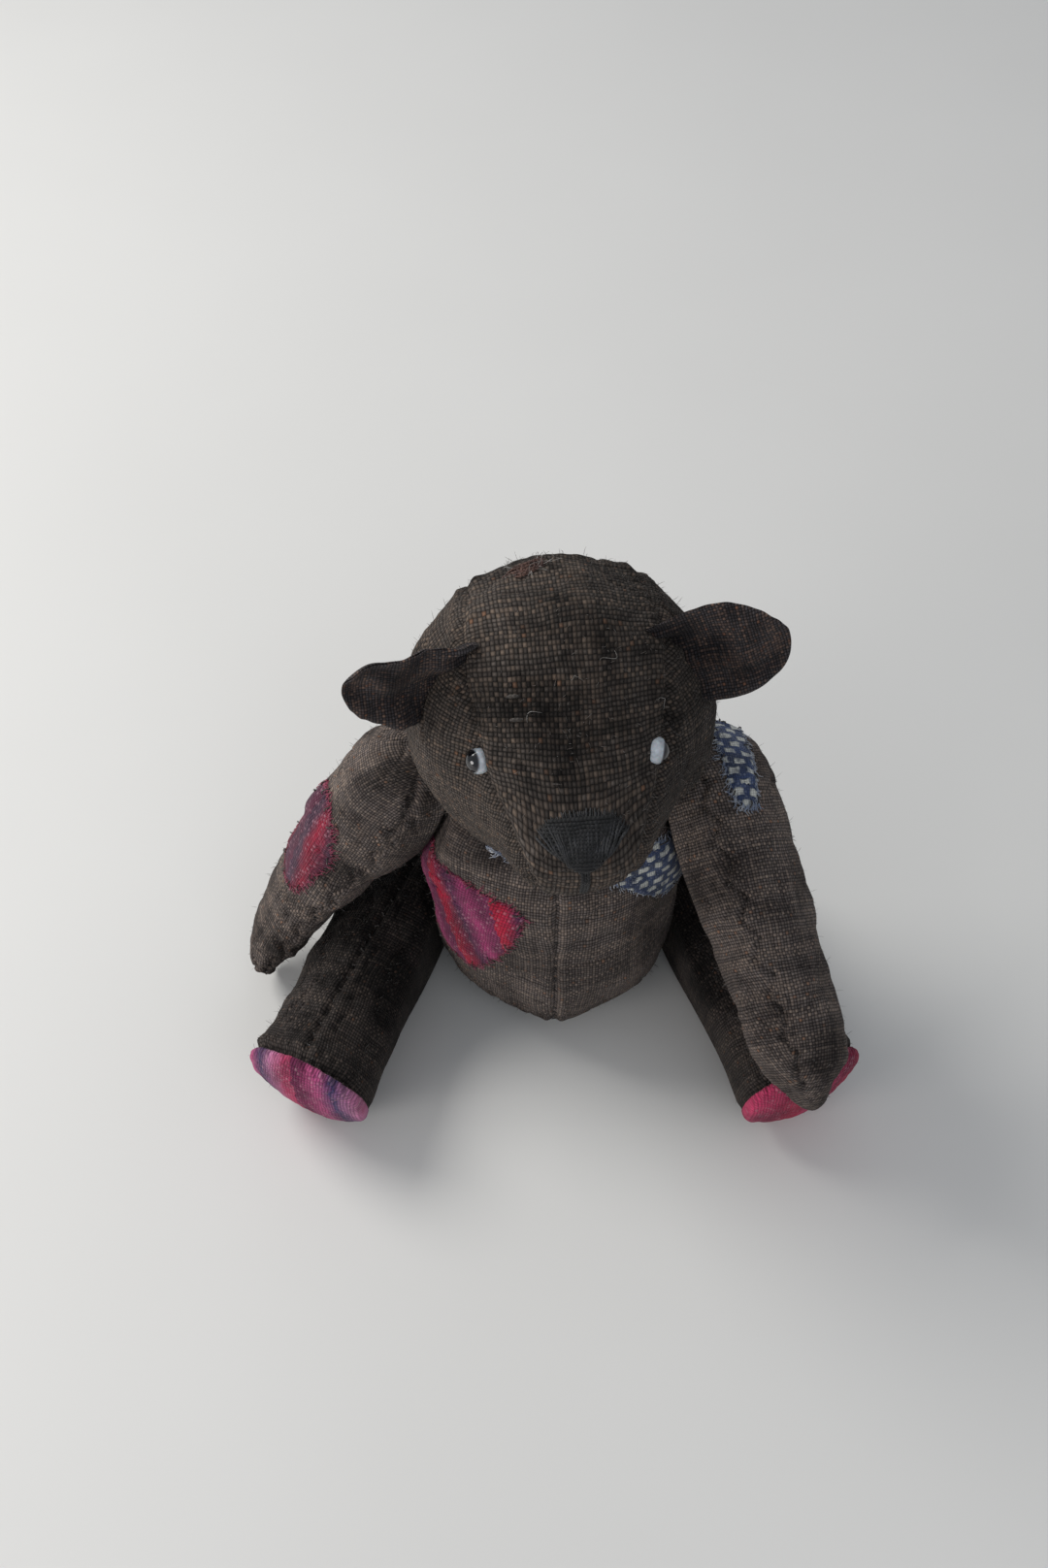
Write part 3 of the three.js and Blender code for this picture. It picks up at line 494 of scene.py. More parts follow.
def weave(g, pitch, wander=0.12):
    """Plain weave: the threads' height, and random numbers for the thread on top and for the crossing."""
    u, v, _ = g.split(g.cloth())
    drift = g.noise(g.place(), 0.11, 1.0)
    aside = g.node("ShaderNodeVectorMath", {0: g.place(), 1: (37, 11, 5)}, operation="ADD").outputs[0]
    other = g.noise(aside, 0.13, 1.0)
    cu = g.over(g.plus(u, g.times(drift, wander * 8)), pitch)
    cv = g.over(g.plus(v, g.times(other, wander * 8)), pitch)
    iu, iv = g.math("FLOOR", cu), g.math("FLOOR", cv)
    fu = g.minus(g.minus(cu, iu), 0.5)
    fv = g.minus(g.minus(cv, iv), 0.5)
    on_top = g.math("PINGPONG", g.plus(iu, iv), 1.0)
    warp, weft = g.random(g.vector(iu, 7.5)), g.random(g.vector(3.5, iv))
    crossing = g.plus(g.times(g.random(g.vector(iu, iv, 1.5)), 0.7), g.times(on_top, 0.3))

    def blend(a, b):
        return g.plus(g.times(a, g.minus(1.0, on_top)), g.times(b, on_top))

    across, lengthwise = blend(fu, fv), blend(fv, fu)
    top_thread = blend(warp, weft)
    width = g.clamp(top_thread, 0, 1, 0.85, 1.15)
    rounded = g.minus(1.0, g.math("POWER", g.math("ABSOLUTE", g.over(across, width)), 2.0))
    rounded = g.clamp(rounded, 0.68, 1.0)
    hump = g.math("COSINE", g.times(lengthwise, 2.2))
    height = g.times(rounded, g.clamp(hump, 0.3, 1.0, 0.25, 1.0))
    return height, top_thread, crossing


def linen(name, pitch, ground, light, tan, bright, contrast=1.0):
    """Coarse dyed linen: a dark ground, with single threads and crossings worn pale in drifts, paler where
    the tone attribute brings wear and painted light, with painted shade in the gaps between the threads and
    painted highlight on their tops.
    """
    g = Graph(name, 0.97, Sheen_Weight=0.05, Sheen_Roughness=0.4, Sheen_Tint=(0.7, 0.62, 0.56, 1),
              Specular_IOR_Level=0.15)
    height, thread, crossing = weave(g, pitch)
    place = g.place()
    drift = g.clamp(g.noise(place, 0.085, 4.0), 0.3, 0.7)
    patchy = g.clamp(g.noise(place, 0.4, 3.0), 0.25, 0.75)
    # The tone attribute brings wear, and on the head also painted light on its lit right side.
    wear_and_light = g.attribute("tone")
    lit = g.plus(g.times(thread, 0.4), g.times(crossing, 0.6))
    lit = g.math("POWER", lit, 2.0 / contrast)
    amount = g.times(lit, g.plus(0.35, g.plus(g.times(drift, 0.5), g.times(patchy, 0.4))))
    amount = g.times(amount, g.plus(0.5, g.times(wear_and_light, bright)))
    amount = g.clamp(amount)
    pale = g.mix(g.clamp(thread, 0.35, 0.8), light, tan)
    pale = g.mix(g.clamp(crossing, 0.98, 0.985), pale, (tan[0], 0.75 * tan[1], 0.62 * tan[2]))
    base = g.mix(wear_and_light, ground, tuple(0.55 * a + 0.45 * b for a, b in zip(ground, light)))
    colour = g.mix(amount, base, pale)
    # Painted shade in the gaps between the threads, and painted highlight on their tops.
    shade = g.clamp(height, 0.15, 0.95, 0.22, 1.25)
    colour = g.darken(colour, shade)
    fuzz = g.noise(place, 3.2, 2.0)
    relief = g.plus(height, g.plus(g.times(crossing, 0.2), g.times(fuzz, 0.25)))
    return g.finish(colour, relief, depth=pitch * 0.42)


def striped_wool(name, stripes, width, tilt):
    """Felted wool, woven in broad stripes that run into each other and are rubbed at their edges."""
    g = Graph(name, 0.95, Sheen_Weight=0.12, Sheen_Roughness=0.4, Sheen_Tint=(0.9, 0.7, 0.75, 1),
              Specular_IOR_Level=0.2)
    height, _, crossing = weave(g, PITCH["wool"])
    place = g.place()
    u, v, _ = g.split(g.cloth())
    across = g.plus(g.times(u, math.cos(tilt)), g.times(v, math.sin(tilt)))
    across = g.plus(across, g.times(g.clamp(g.noise(place, 0.6, 3.0), 0, 1, -1, 1), 1.6))
    place_in = g.math("FRACT", g.over(across, width * len(stripes)))
    ramp = g.node("ShaderNodeValToRGB", {"Fac": place_in})
    for k, colour in enumerate(stripes):
        spot = (k + 0.5) / len(stripes)
        stop = ramp.color_ramp.elements[k] if k < 2 else ramp.color_ramp.elements.new(spot)
        stop.position, stop.color = spot, (*colour, 1)
    colour = ramp.outputs[0]
    grime = g.clamp(g.noise(place, 0.16, 4.0), 0.35, 0.68)
    colour = g.mix(g.times(grime, 0.6), colour, (0.035, 0.016, 0.03))
    pale = g.times(g.clamp(crossing, 0.7, 1.0), 0.3)
    colour = g.mix(pale, colour, (0.55, 0.3, 0.36))
    # Painted shade between the threads, with a little painted highlight on their tops.
    shade = g.plus(0.5, g.times(height, 0.6))
    colour = g.darken(colour, shade)
    relief = g.plus(height, g.times(g.noise(place, 2.4, 3.0), 0.8))
    return g.finish(colour, relief, depth=0.26)


def dashed_cotton(name, ground, dash):
    """Indigo cotton with rows of cream dashes woven in, faded and dirty."""
    g = Graph(name, 0.92, Sheen_Weight=0.2, Sheen_Roughness=0.5, Sheen_Tint=(0.7, 0.75, 0.85, 1))
    height, _, crossing = weave(g, PITCH["cotton"])
    u, v, _ = g.split(g.cloth())
    place = g.place()
    sway = g.clamp(g.noise(place, 0.35, 2.0), 0, 1, -0.9, 0.9)
    line = g.over(g.plus(v, sway), 1.9)
    number = g.math("FLOOR", line)
    row = g.math("FRACT", line)
    step = g.math("FRACT", g.plus(g.over(g.plus(u, sway), 3.1), g.times(number, 0.5)))
    dashed = g.times(g.clamp(step, 0.68, 0.56), g.clamp(step, 0.0, 0.1))
    inside = g.times(g.clamp(row, 0.62, 0.5), dashed)
    worn = g.clamp(g.noise(place, 0.5, 3.0), 0.3, 0.48)
    colour = g.mix(g.clamp(g.noise(place, 0.25, 3.0), 0.35, 0.65), ground, tuple(2.6 * c for c in ground))
    colour = g.mix(g.times(inside, worn), colour, dash)
    colour = g.mix(g.times(g.clamp(crossing, 0.6, 1.0), 0.3), colour, (0.3, 0.33, 0.4))
    # Painted shade between the threads, with a little painted highlight on their tops.
    shade = g.plus(0.5, g.times(height, 0.6))
    colour = g.darken(colour, shade)
    relief = g.plus(g.times(height, 0.5), inside)
    return g.finish(colour, relief, depth=0.3)


def thread_material(name, dark, light, roughness=0.75, sheen=0.4):
    """Spun thread: fine plies that wind round it, rubbed paler here and there, with painted light and shade
    on the twist.
    """
    g = Graph(name, roughness, Sheen_Weight=sheen, Sheen_Roughness=0.35, Sheen_Tint=(0.8, 0.78, 0.76, 1))
    u, v, _ = g.split(g.cloth())
    ply = g.math("SINE", g.plus(g.times(u, 1.26), g.times(v, 9.0)))
    ply = g.clamp(ply, -1, 1)
    worn = g.clamp(g.noise(g.place(), 0.7, 3.0), 0.4, 0.75)
    # Paler on the crests of the plies and darker in the grooves between them: wear where rubbed, painted
    # highlight on the crests and painted shade in the grooves.
    colour = g.mix(g.times(worn, g.plus(0.35, g.times(ply, 0.65))), dark, light)
    return g.finish(colour, ply, depth=0.06)


def fibre_material(name, colours):
    """Loose fibres, each with its own tone."""
    g = Graph(name, 0.85, Sheen_Weight=0.3, Sheen_Roughness=0.5)
    tint = g.clamp(g.noise(g.place(), 0.9, 2.0), 0.32, 0.68)
    return g.finish(g.mix(tint, *colours))


def eye_glass(name):
    """Milky glass with a black pupil round its axis and a smoky ring where the colour thins out."""
    g = Graph(name, 0.1, Coat_Weight=0.3, Coat_Roughness=0.02, Subsurface_Weight=0.15,
              Subsurface_Scale=0.002)
    where = g.attribute("tone")
    cloud = g.clamp(g.noise(g.place(), 0.9, 3.0), 0.3, 0.7)
    white = g.mix(cloud, (0.32, 0.35, 0.38), (0.55, 0.59, 0.63))
    edge = PUPIL / math.pi
    ring = g.mix(g.clamp(where, edge + 0.05, edge), white, (0.03, 0.03, 0.036))
    return g.finish(g.mix(g.clamp(where, edge, edge - 0.02), ring, (0.004, 0.004, 0.006)))


def board_material():
    g = Graph("pressed_board", 0.8)
    grain = g.noise(g.place(), 1.5, 4.0)
    return g.finish(g.mix(grain, (0.16, 0.09, 0.045), (0.34, 0.22, 0.12)), grain, depth=0.08)


def steel_material():
    g = Graph("dull_steel", 0.4, Metallic=1.0)
    stain = g.noise(g.place(), 0.9, 4.0)
    return g.finish(g.mix(g.clamp(stain, 0.4, 0.7), (0.42, 0.41, 0.4), (0.2, 0.12, 0.07)), stain, depth=0.03)


def floor_material():
    g = Graph("pale_floor", 0.7)
    return g.finish(g.mix(g.noise(g.place(), 0.01, 3.0), (0.62, 0.61, 0.59), (0.66, 0.65, 0.63)))


# ---------------------------------------------------------------- places on the bear
HEAD_TURN = turn(2, HEAD_YAW)


def head_point(side, forward, up):
    side, forward, up = np.broadcast_arrays(*(np.asarray(v, float) for v in (side, forward, up)))
    local = np.stack([side, -forward - SKULL["forward"], up + SKULL["lift"]], -1)
    return local @ HEAD_TURN.T + NECK


def head_direction(side, forward, up):
    return HEAD_TURN @ unit((side, -forward, up))


def torso_place(along, side, up):
    ridge = 2.2 * bell(side, 7) * bell(along - 14, 16) * (up > 0)
    return np.stack([side, -up - ridge, along], -1)


def limb_place(origin, matrix, side, foot=False):
    """Turns a limb's own along, across and up into the frame."""
    def place(along, across, up):
        if foot:
            share = smooth(along, SOLE["from"], SOLE["seam"])
            along = along + share * (SOLE["turn"] * (across - SOLE["axis"]) + SOLE["lean"] * up)
        along, across, up = np.broadcast_arrays(along, across, up)
        return np.stack([side * across, -up, -along], -1) @ matrix.T + origin
    return place


def flat(point, normal, radius=None):
    return {"point": np.array(point, float), "normal": unit(normal), "radius": radius}


# ---------------------------------------------------------------- the five stuffed bodies and the head
def make_torso(cloth):
    joints = {j["name"]: j for j in frame["joints"]}
    flats = [flat((0, 0, 0), (0, 0, -1))]
    for name in ("neck_swivel", "shoulder_left_swing", "shoulder_right_swing", "hip_left_swing",
                 "hip_right_swing"):
        point, axis = (np.array(joints[name][key], float) for key in ("pos_m", "axis"))
        point = point / MM
        outward = axis if (axis @ (point - (0, 0, 30)) > 0) else -axis
        flats.append(flat(point - outward * JOINT_GAP, outward, DIMPLE_RADIUS if "hip" in name else None))
    cover = Cover("torso_cover", "torso", TORSO, torso_place, flats, *GRID["torso"],
                  seams=(FRONT, BACK, 0, TAU / 2), panels=[k * TAU / 8 for k in (1, 3, 5, 7)])
    p = cover.points
    front_seam, back_seam, left_seam, right_seam = cover.seam_offset
    shape = 0.35 * waves(p, 17, 1) - 0.35
    for seam in (front_seam, back_seam):
        shape = shape + stitch_groove(seam, p[..., 2], 0.75)
    for seam in (left_seam, right_seam):
        shape = shape + stitch_groove(seam, p[..., 2], 0.5)
    fold = waves(p, 15, 2, stretch=(0.6, 0.6, 1.9))
    shape = shape - 0.6 * bell(fold, 0.22) * smooth(waves(p, 22, 3), -0.6, 1)
    shape = shape - 0.5 * bell(waves(p, 9, 4), 0.16) * smooth(p[..., 2], 30, 6)
    cover.move(shape + 0.08 * waves(p, 3.2, 5))
    tone = 0.55 + 0.22 * waves(p, 20, 6) + 0.1 * waves(p, 6, 7)
    cover.build(cloth, "dark_linen", [f"torso_{end}_{side}" for end in ("front", "back") for side in
                                      ("left", "right")] + ["torso_stuffing"], tone)
    return cover


def gusset_width(angle):
    """Half width of the gusset at angles from -pi to pi; zero under the chin and at the nape."""
    table = np.array(GUSSET)
    angle = np.where(angle < GUSSET[0][0], angle + TAU, angle)
    return np.interp(angle, table[:, 0], table[:, 1])


def head_maps(forward, side, up):
    """Cloth coordinates of the gusset, which runs from nose to nape, and of the two cheeks."""
    angle = np.arctan2(up + GUSSET_DROP, forward)
    reach = np.hypot(up + GUSSET_DROP, forward)
    gusset = np.stack([side * 1.06, (angle % TAU) * 24 + 0.4 * (reach - 27)], -1)
    size = np.sqrt(forward**2 + side**2 + up**2)
    rho = np.hypot(forward, up)
    spread = np.arctan2(rho, np.abs(side)) * size / np.maximum(rho, 1e-3)
    cheek = np.stack([forward * spread + 0.35 * up * spread, up * spread - 0.35 * forward * spread], -1)
    return [gusset, cheek, cheek + 100], angle


def make_head(cloth):
    cover = Cover("head_cover", "head", HEAD, lambda along, side, up: head_point(side, along, up),
                  [flat(NECK + (0, 0, JOINT_GAP), (0, 0, -1))], *GRID["head"], seams=(), panels=(0,))
    maps, angle = head_maps(cover.along, cover.side, cover.up)
    offset = np.abs(cover.side) - gusset_width(angle)
    p = cover.points
    run = (angle % TAU) * 25
    shape = 0.3 * waves(p, 15, 11) - 0.3
    lifted = smooth(angle, -0.9, -0.2) + smooth(angle, -1.0, -2.4)
    shape = shape + stitch_groove(offset, run, 0.42, 2.4) * (0.55 + 0.45 * np.clip(lifted, 0, 1))

    def distance(side, forward, up):
        return np.sqrt((cover.side - side) ** 2 + (cover.along - forward) ** 2 + (cover.up - up) ** 2)

    for eye in EYES.values():
        away = distance(*eye)
        spoke = np.arctan2(cover.up - eye[2], cover.along - eye[1])
        shape = shape - 1.1 * bell(away, 4.2) - 0.2 * bell(away - 6.5, 2.2) * np.cos(5 * spoke + 1)
        ridge = distance(eye[0] - 2.9 * np.sign(eye[0]), eye[1] + 1.1, eye[2] + 1.4)
        shape = shape + 1.0 * bell(ridge, 2.3)
    brow = waves(p, 17, 12, stretch=(0.7, 1.6, 1))
    shape = shape - 0.42 * bell(brow, 0.16) * smooth(waves(p, 21, 13), -0.5, 1.0)
    shape = shape - 0.35 * bell(distance(0, 31, 5), 8)
    step = cover.along + 0.5 * cover.side + 17.5
    crown = smooth(cover.up, 12, 19) * bell(cover.side + 2, 9)
    shape = shape + crown * (0.9 * bell(step - 1.2, 1.5) - 1.1 * bell(step + 1.3, 1.3))
    cover.move(shape + 0.07 * waves(p, 2.6, 14))
    tone = 0.32 + 0.16 * waves(p, 16, 15) + 0.09 * waves(p, 5, 16)
    # Paler low on the right cheek and high on the right side of the head: wear, and painted light on the side
    # that the lamps light.
    tone = tone + 0.75 * smooth(-cover.side, 4, 17) * smooth(cover.along, -2, 16) * smooth(cover.up, 24, 4)
    tone = tone + 0.5 * bell(cover.side + 15, 8) * bell(cover.along + 6, 12) * (cover.up > 0)
    tone = tone + 0.25 * bell(cover.side - 13, 9) * bell(cover.along - 3, 14) * (cover.up > 0)
    tone = tone + 0.25 * smooth(cover.along, 12, 26)
    tone = tone - 0.25 * bell(cover.side, 8) * bell(cover.along - 10, 14) * (cover.up > 0)
    side_of = np.where(cover.side > 0, 1, 2)
    panel_of = np.where(offset < 0, 0, side_of)
    cover.build(cloth, "dark_linen", ["head_gusset", "head_side_left", "head_side_right", "head_stuffing"],
                tone, panel_of=panel_of, maps=maps)
    return cover


def limb_cover(kind, name, side, rows, origin, matrix, flats):
    body = f"{kind}_{name}"
    cover = Cover(f"{body}_cover", body, rows, limb_place(origin, matrix, side, kind == "leg"), flats,
                  *GRID[kind], seams=(FRONT, BACK), panels=(0, TAU / 2))
    cover.matrix, cover.origin, cover.mirror = matrix, origin, side
    return cover


def joint_of(kind, name):
    joint = next(j for j in frame["joints"] if j["child"] == f"{kind}_{name}")
    return np.array(joint["pos_m"], float) / MM


def make_arm(name, side, cloth):
    origin = joint_of("arm", name)
    matrix = turn(1, -side * SHOULDER_TILT) @ turn(0, ARM_SWING[name])
    axis = np.array([side * math.cos(SHOULDER_TILT), 0, math.sin(SHOULDER_TILT)])
    rows = []
    for along, lift, shift, half, above, under in ARM:
        press = ARM_PRESS[name] * float(smooth(along, 5, 42)) * (half > 0)
        rows.append((along, lift, shift + press, half - press, above, under))
    cover = limb_cover("arm", name, side, rows, origin, matrix, [flat(origin + axis * JOINT_GAP, -axis)])
    p, along = cover.points, cover.along
    front, back = cover.seam_offset
    zigzag = 0.9 * np.arcsin(np.sin(TAU * along / 7.5)) * smooth(along, -4, 6) * smooth(along, 60, 52)
    ends = smooth(along, 63.5, 58) * smooth(along, -11.5, -7)
    shape = 0.28 * waves(p, 11, 21 + side) - 0.28 - 0.3 * smooth(along, 14, 2)
    shape = shape + stitch_groove(front + zigzag, along, 0.8, 3.0) * ends
    shape = shape + stitch_groove(back, along, 0.5, 3.0) * ends
    bend = waves(p, 10, 25 + side, stretch=(0.9, 1.5, 0.9))
    shape = shape - 0.5 * bell(bend, 0.2) * smooth(waves(p, 14, 27 + side), -0.4, 0.8)
    shape = shape - 0.45 * bell(np.sin(along / 2.6 + 1.3 * waves(p, 12, 29)), 0.3) * bell(front, 5)
    cover.move((shape + 0.06 * waves(p, 2.6, 31)) * smooth(along, 65.2, 61))
    tone = 0.62 + 0.25 * waves(p, 13, 33 + side) + 0.1 * waves(p, 5, 35)
    tone = tone - 0.3 * smooth(side * (p[..., 0] - side * 44), 0, 8) - 0.25 * smooth(along, 56, 62)
    cover.build(cloth, "dark_linen", [f"arm_{name}_{part}" for part in ("outer", "inner", "stuffing")],
                tone)
    return cover


def make_leg(name, side, cloth, sole_cloth):
    origin = joint_of("leg", name)
    matrix = turn(2, side * HIP_YAW) @ turn(0, -math.pi / 2)
    axis = np.array([side * math.cos(HIP_YAW), math.sin(HIP_YAW), 0])
    flats = [flat(origin + axis * JOINT_GAP, -axis), flat((0, 0, 0.02), (0, 0, -1))]
    cover = limb_cover("leg", name, side, LEG, origin, matrix, flats)
    p, along = cover.points, cover.along
    top, under = cover.seam_offset
    shape = 0.28 * waves(p, 12, 41 + side) - 0.3
    shape = shape + stitch_groove(top, along, 0.7, 2.8) * smooth(along, 52, 50)
    shape = shape + stitch_groove(under, along, 0.4, 2.8) * smooth(along, 52, 50)
    shape = shape + stitch_groove(along - SOLE["seam"] + 0.4, cover.arc, 0.9, 2.4)
    ankle = np.sin(along / 2.4 + 1.5 * waves(p, 13, 43 + side))
    shape = shape - 0.5 * bell(ankle, 0.3) * bell(along - 40, 9) * smooth(cover.up, -4, 8)
    shape = shape - 0.5 * bell(waves(p, 12, 45 + side, stretch=(1, 1.5, 1)), 0.2) * smooth(along, 50, 40)
    cover.move(shape + 0.06 * waves(p, 2.6, 47))
    sole_skin(cover, name, sole_cloth)
    under_sole = smooth(along, SOLE["seam"] - 0.2, SOLE["seam"] + 1.2)
    cover.move(-0.85 * under_sole, free=False)
    tone = 0.15 + 0.12 * side + 0.16 * waves(p, 13, 49 + side) + 0.1 * waves(p, 5, 51)
    tone = tone + 0.65 * smooth(along, 26, 46) * smooth(side * waves(p, 30, 53), -1.4, 0.6)
    cover.build(cloth, "dark_linen", [f"leg_{name}_{part}" for part in ("outer", "inner", "stuffing")],
                tone)
    return cover


def sole_skin(cover, name, cloth):
    """The sole's own piece of wool over the end of the foot: a thin cap with a turned-in edge."""
    first = int(np.argmax(cover.along[:, 0] > SOLE["seam"] + 0.1))
    normal = np.concatenate([cover.normal[first:first + 1], cover.normal[first:]])
    rim = cover.points[first:first + 1] - 0.35 * normal[:1]
    outside = np.concatenate([rim, cover.points[first:]]) + 0.05 * unit(normal)
    inside = outside - SOLE_THICKNESS * normal
    rows, m = outside.shape[:2]
    points = np.concatenate([outside[:-1].reshape(-1, 3), outside[-1, :1], inside[:-1].reshape(-1, 3),
                             inside[-1, :1]])
    half = (rows - 1) * m + 1
    faces = []
    for base, turned in ((0, False), (half, True)):
        for i in range(rows - 1):
            for j in range(m):
                k = (j + 1) % m
                low, high = base + i * m, base + (i + 1) * m
                end = (base + half - 1,) if i == rows - 2 else (high + k, high + j)
                face = (low + j, low + k, *end)
                faces.append(face[::-1] if turned else face)
    faces += [(j, half + j, half + (j + 1) % m, (j + 1) % m) for j in range(m)]
    middle = points.mean(axis=0)
    outward = unit(cover.points[-1, 0] - cover.points[first].mean(axis=0))
    faces = facing_out(points, faces)
    across = unit(np.cross(outward, (0, 0, 1)))
    flat_uv = np.stack([(points - middle) @ across, (points - middle)[:, 2]], 1)
    piece = make_piece(f"sole_{name}_wool", points, faces, cloth, corners(flat_uv, faces))
    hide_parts(f"sole_{name}")
    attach(piece, cover.body)


# ---------------------------------------------------------------- ears
def make_ears(front_cloth, back_cloth):
    for name, side in SIDES.items():
        tip = head_direction(*EAR_AIM[name]["tip"])
        face = head_direction(*EAR_AIM[name]["face"])
        across = unit(np.cross(tip, face))
        back = np.cross(across, tip)
        base = head_point(side * EAR["side"], EAR["forward"], EAR["up"])
        frame_of = np.stack([across, back, tip])
        for layer, cloth in (("front", front_cloth), ("back", back_cloth)):
            ear_layer(f"ear_{layer}_{name}", base, frame_of, layer, cloth, 60 + side)


def ear_layer(name, base, frame_of, layer, cloth, seed):
    """One cupped layer of an ear: two faces that meet in a rounded, gathered rim."""
    rings, m = EAR_GRID
    rim = smooth_outline(EAR_OUTLINE, m)
    share = (np.linspace(0, 1, rings + 1) ** 0.8)[:, None, None]
    middle = np.array([0, EAR["middle"]])
    flat_points = middle + (rim - middle)[None] * share
    near = 0.0 if layer == "front" else EAR["layer"] + 0.1
    a, b = flat_points[..., 0], flat_points[..., 1]
    sample = np.stack([a, b, np.full_like(a, seed)], -1)
    bend = EAR["cup"] * a**2 + 0.55 * waves(sample, 9, seed) - 0.1 * waves(sample, 3.4, seed + 1)
    rim_share = share[..., 0] ** 6
    rolled = 0.5 * rim_share * (1 + 0.3 * np.sin(a * 1.7 + b * 1.3))
    thick = EAR["layer"] * (1 - 0.85 * share[..., 0] ** 14)
    centre = bend + near + EAR["layer"] / 2 + (rolled * 0.5 if layer == "front" else -rolled * 0.6)
    gather = smooth(b, 4, -3)
    a = a * (1 - 0.12 * gather)
    centre = centre + 0.55 * gather * np.sin(a * 1.9)
    points = []
    for sign in (-1, 1):
        local = np.stack([a, centre + sign * thick / 2, b], -1)
        points.append(local @ frame_of + base)
    points = np.concatenate([disc_list(face) for face in points])
    faces = facing_out(points, sheet_faces(rings, m))
    level = np.tile(disc_list(share.repeat(m, 1))[:, 0], 2)
    tone = np.clip(0.25 + 0.15 * waves(points, 7, seed) + 0.5 * level**8, 0, 1)
    uv = corners(np.tile(disc_list(np.stack([a, b], -1)), (2, 1)), faces)
    piece = make_piece(f"{name}_linen", points, faces, cloth, uv, tone)
    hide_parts(name)
    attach(piece, "head")


# ---------------------------------------------------------------- eyes
def make_eye(name, glass, skull):
    """A glass bead eye, with the pupil's dome standing proud round its axis."""
    aim = head_direction(*EYE_AIM[name])
    place, normal = skull.onto(head_point(*EYES[name]))
    centre = place + normal * EYE_RISE
    rows, columns = EYE_GRID
    across = unit(np.cross(aim, (0, 0, 1)))
    over = np.cross(across, aim)
    angle = np.linspace(0, math.pi, rows + 1)[:, None]
    round_it = np.linspace(0, TAU, columns, endpoint=False)[None]
    reach = EYE_RADIUS * (1 + 0.035 * bell(angle, 0.55) - 0.02 * bell(angle - PUPIL, 0.08))
    grid = (reach * np.sin(angle))[..., None] * (np.cos(round_it)[..., None] * across
                                                 + np.sin(round_it)[..., None] * over)
    grid = grid + (reach * np.cos(angle))[..., None] * aim + centre
    points = grid_list(grid)
    tone = grid_list(np.broadcast_to(angle, grid.shape[:2])) / math.pi
    faces = facing_out(points, grid_faces(rows, columns))
    piece = make_piece(f"eye_bead_{name}", points, faces, glass, tone=tone)
    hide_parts(f"eye_{name}")
    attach(piece, "head")


# ---------------------------------------------------------------- nose and mouth
def nose_place(a, b):
    """A point of the nose's outline plane, well in front of the head, and the way back to the cloth."""
    axis = head_direction(0, 0.8, 0.6)
    side = unit(np.cross((0, 0, 1), axis))
    up = np.cross(axis, side)
    return head_point(*NOSE_MIDDLE) + side * a + up * b + axis * 20, -axis


def on_head(skull, a, b, lift):
    start, back = nose_place(a, b)
    place, normal = skull.struck(start, back)
    return place + normal * lift


def make_nose(skull, thread, worn_highlight_thread):
    """Satin stitches fanned from the nose's upper edge to its tip, over a first layer laid across them."""
    rng = np.random.default_rng(SEED + 70)
    upper = [(-8, 2.2), (-7, 4.1), (-5, 5.3), (-2.5, 5.9), (1.5, 6.1), (5, 5.5), (7, 4.4), (8, 2.4)]
    lower = [(-4.2, -1.2), (-2.6, -3.2), (0, -5.0), (2.6, -3.2), (4.2, -1.2)]
    share = np.linspace(0, 1, 13)
    under, satin = [], []
    for b in np.linspace(4.6, -3.6, 14):
        half = np.interp(b, (-4.6, -0.5, 2.5, 5), (0.6, 4.6, 7.2, 5.4))
        row = half * (2 * share - 1)
        under.append([on_head(skull, a, b, 0.15 + 0.25 * bell(a, half * 0.6)) for a in row])
    for k, x in enumerate(np.linspace(-7.9, 7.9, 46)):
        top = (x, np.interp(x, *zip(*upper)) + rng.uniform(-0.3, 0.4))
        low_x = x * 0.5 + rng.uniform(-0.2, 0.2)
        low = (low_x, np.interp(low_x, *zip(*lower)) + rng.uniform(-0.3, 0.2))
        bow = 0.35 * rng.normal()
        path = []
        for t in share:
            a = top[0] + (low[0] - top[0]) * t + bow * math.sin(math.pi * t) * 0.5
            b = top[1] + (low[1] - top[1]) * t
            lift = 0.55 * math.sin(math.pi * t) ** 0.6 + 0.1 * (k % 2) - 0.15
            path.append(on_head(skull, a, b, lift))
        satin.append(path)
    add_tubes("nose_pad", under, THREAD["pad"], thread, "head", sides=6, taper=0.8)
    radius = rng.uniform(0.18, 0.28, len(satin))
    # The satin's thread is worn paler and carries painted highlight on its plies.
    top = add_tubes("nose_satin", satin, radius, worn_highlight_thread, "head", sides=6)
    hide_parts("nose_stitches")
    mouth = []
    for shift, start, end in ((-0.5, -4.0, -9.9), (0, -4.4, -10.4), (0.5, -4.2, -9.7)):
        mouth.append([on_head(skull, shift + 0.1 * math.sin(3 * t), start + (end - start) * t,
                              0.22 * math.sin(math.pi * t) - 0.05) for t in share])
    piece = add_tubes("mouth_thread", mouth, THREAD["mouth"], thread, "head", sides=6,
                      taper=0.7)
    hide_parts("mouth_stitch")


# ---------------------------------------------------------------- patches
def patch_basis(patch):
    """The plane that a patch's outline is drawn on, in the frame's axes."""
    cover = patch["on"]
    axis, up, centre = np.array(patch["axis"], float), np.array((0, 0, 1.0)), np.array(patch["centre"], float)
    to_local = np.array([getattr(cover, "mirror", 1), -1, 1])
    matrix, origin = getattr(cover, "matrix", np.eye(3)), getattr(cover, "origin", np.zeros(3))
    axis = matrix @ unit(axis * to_local)
    up = matrix @ up
    side = unit(np.cross(up, axis))
    return side, np.cross(axis, side), axis, matrix @ (centre * to_local) + origin


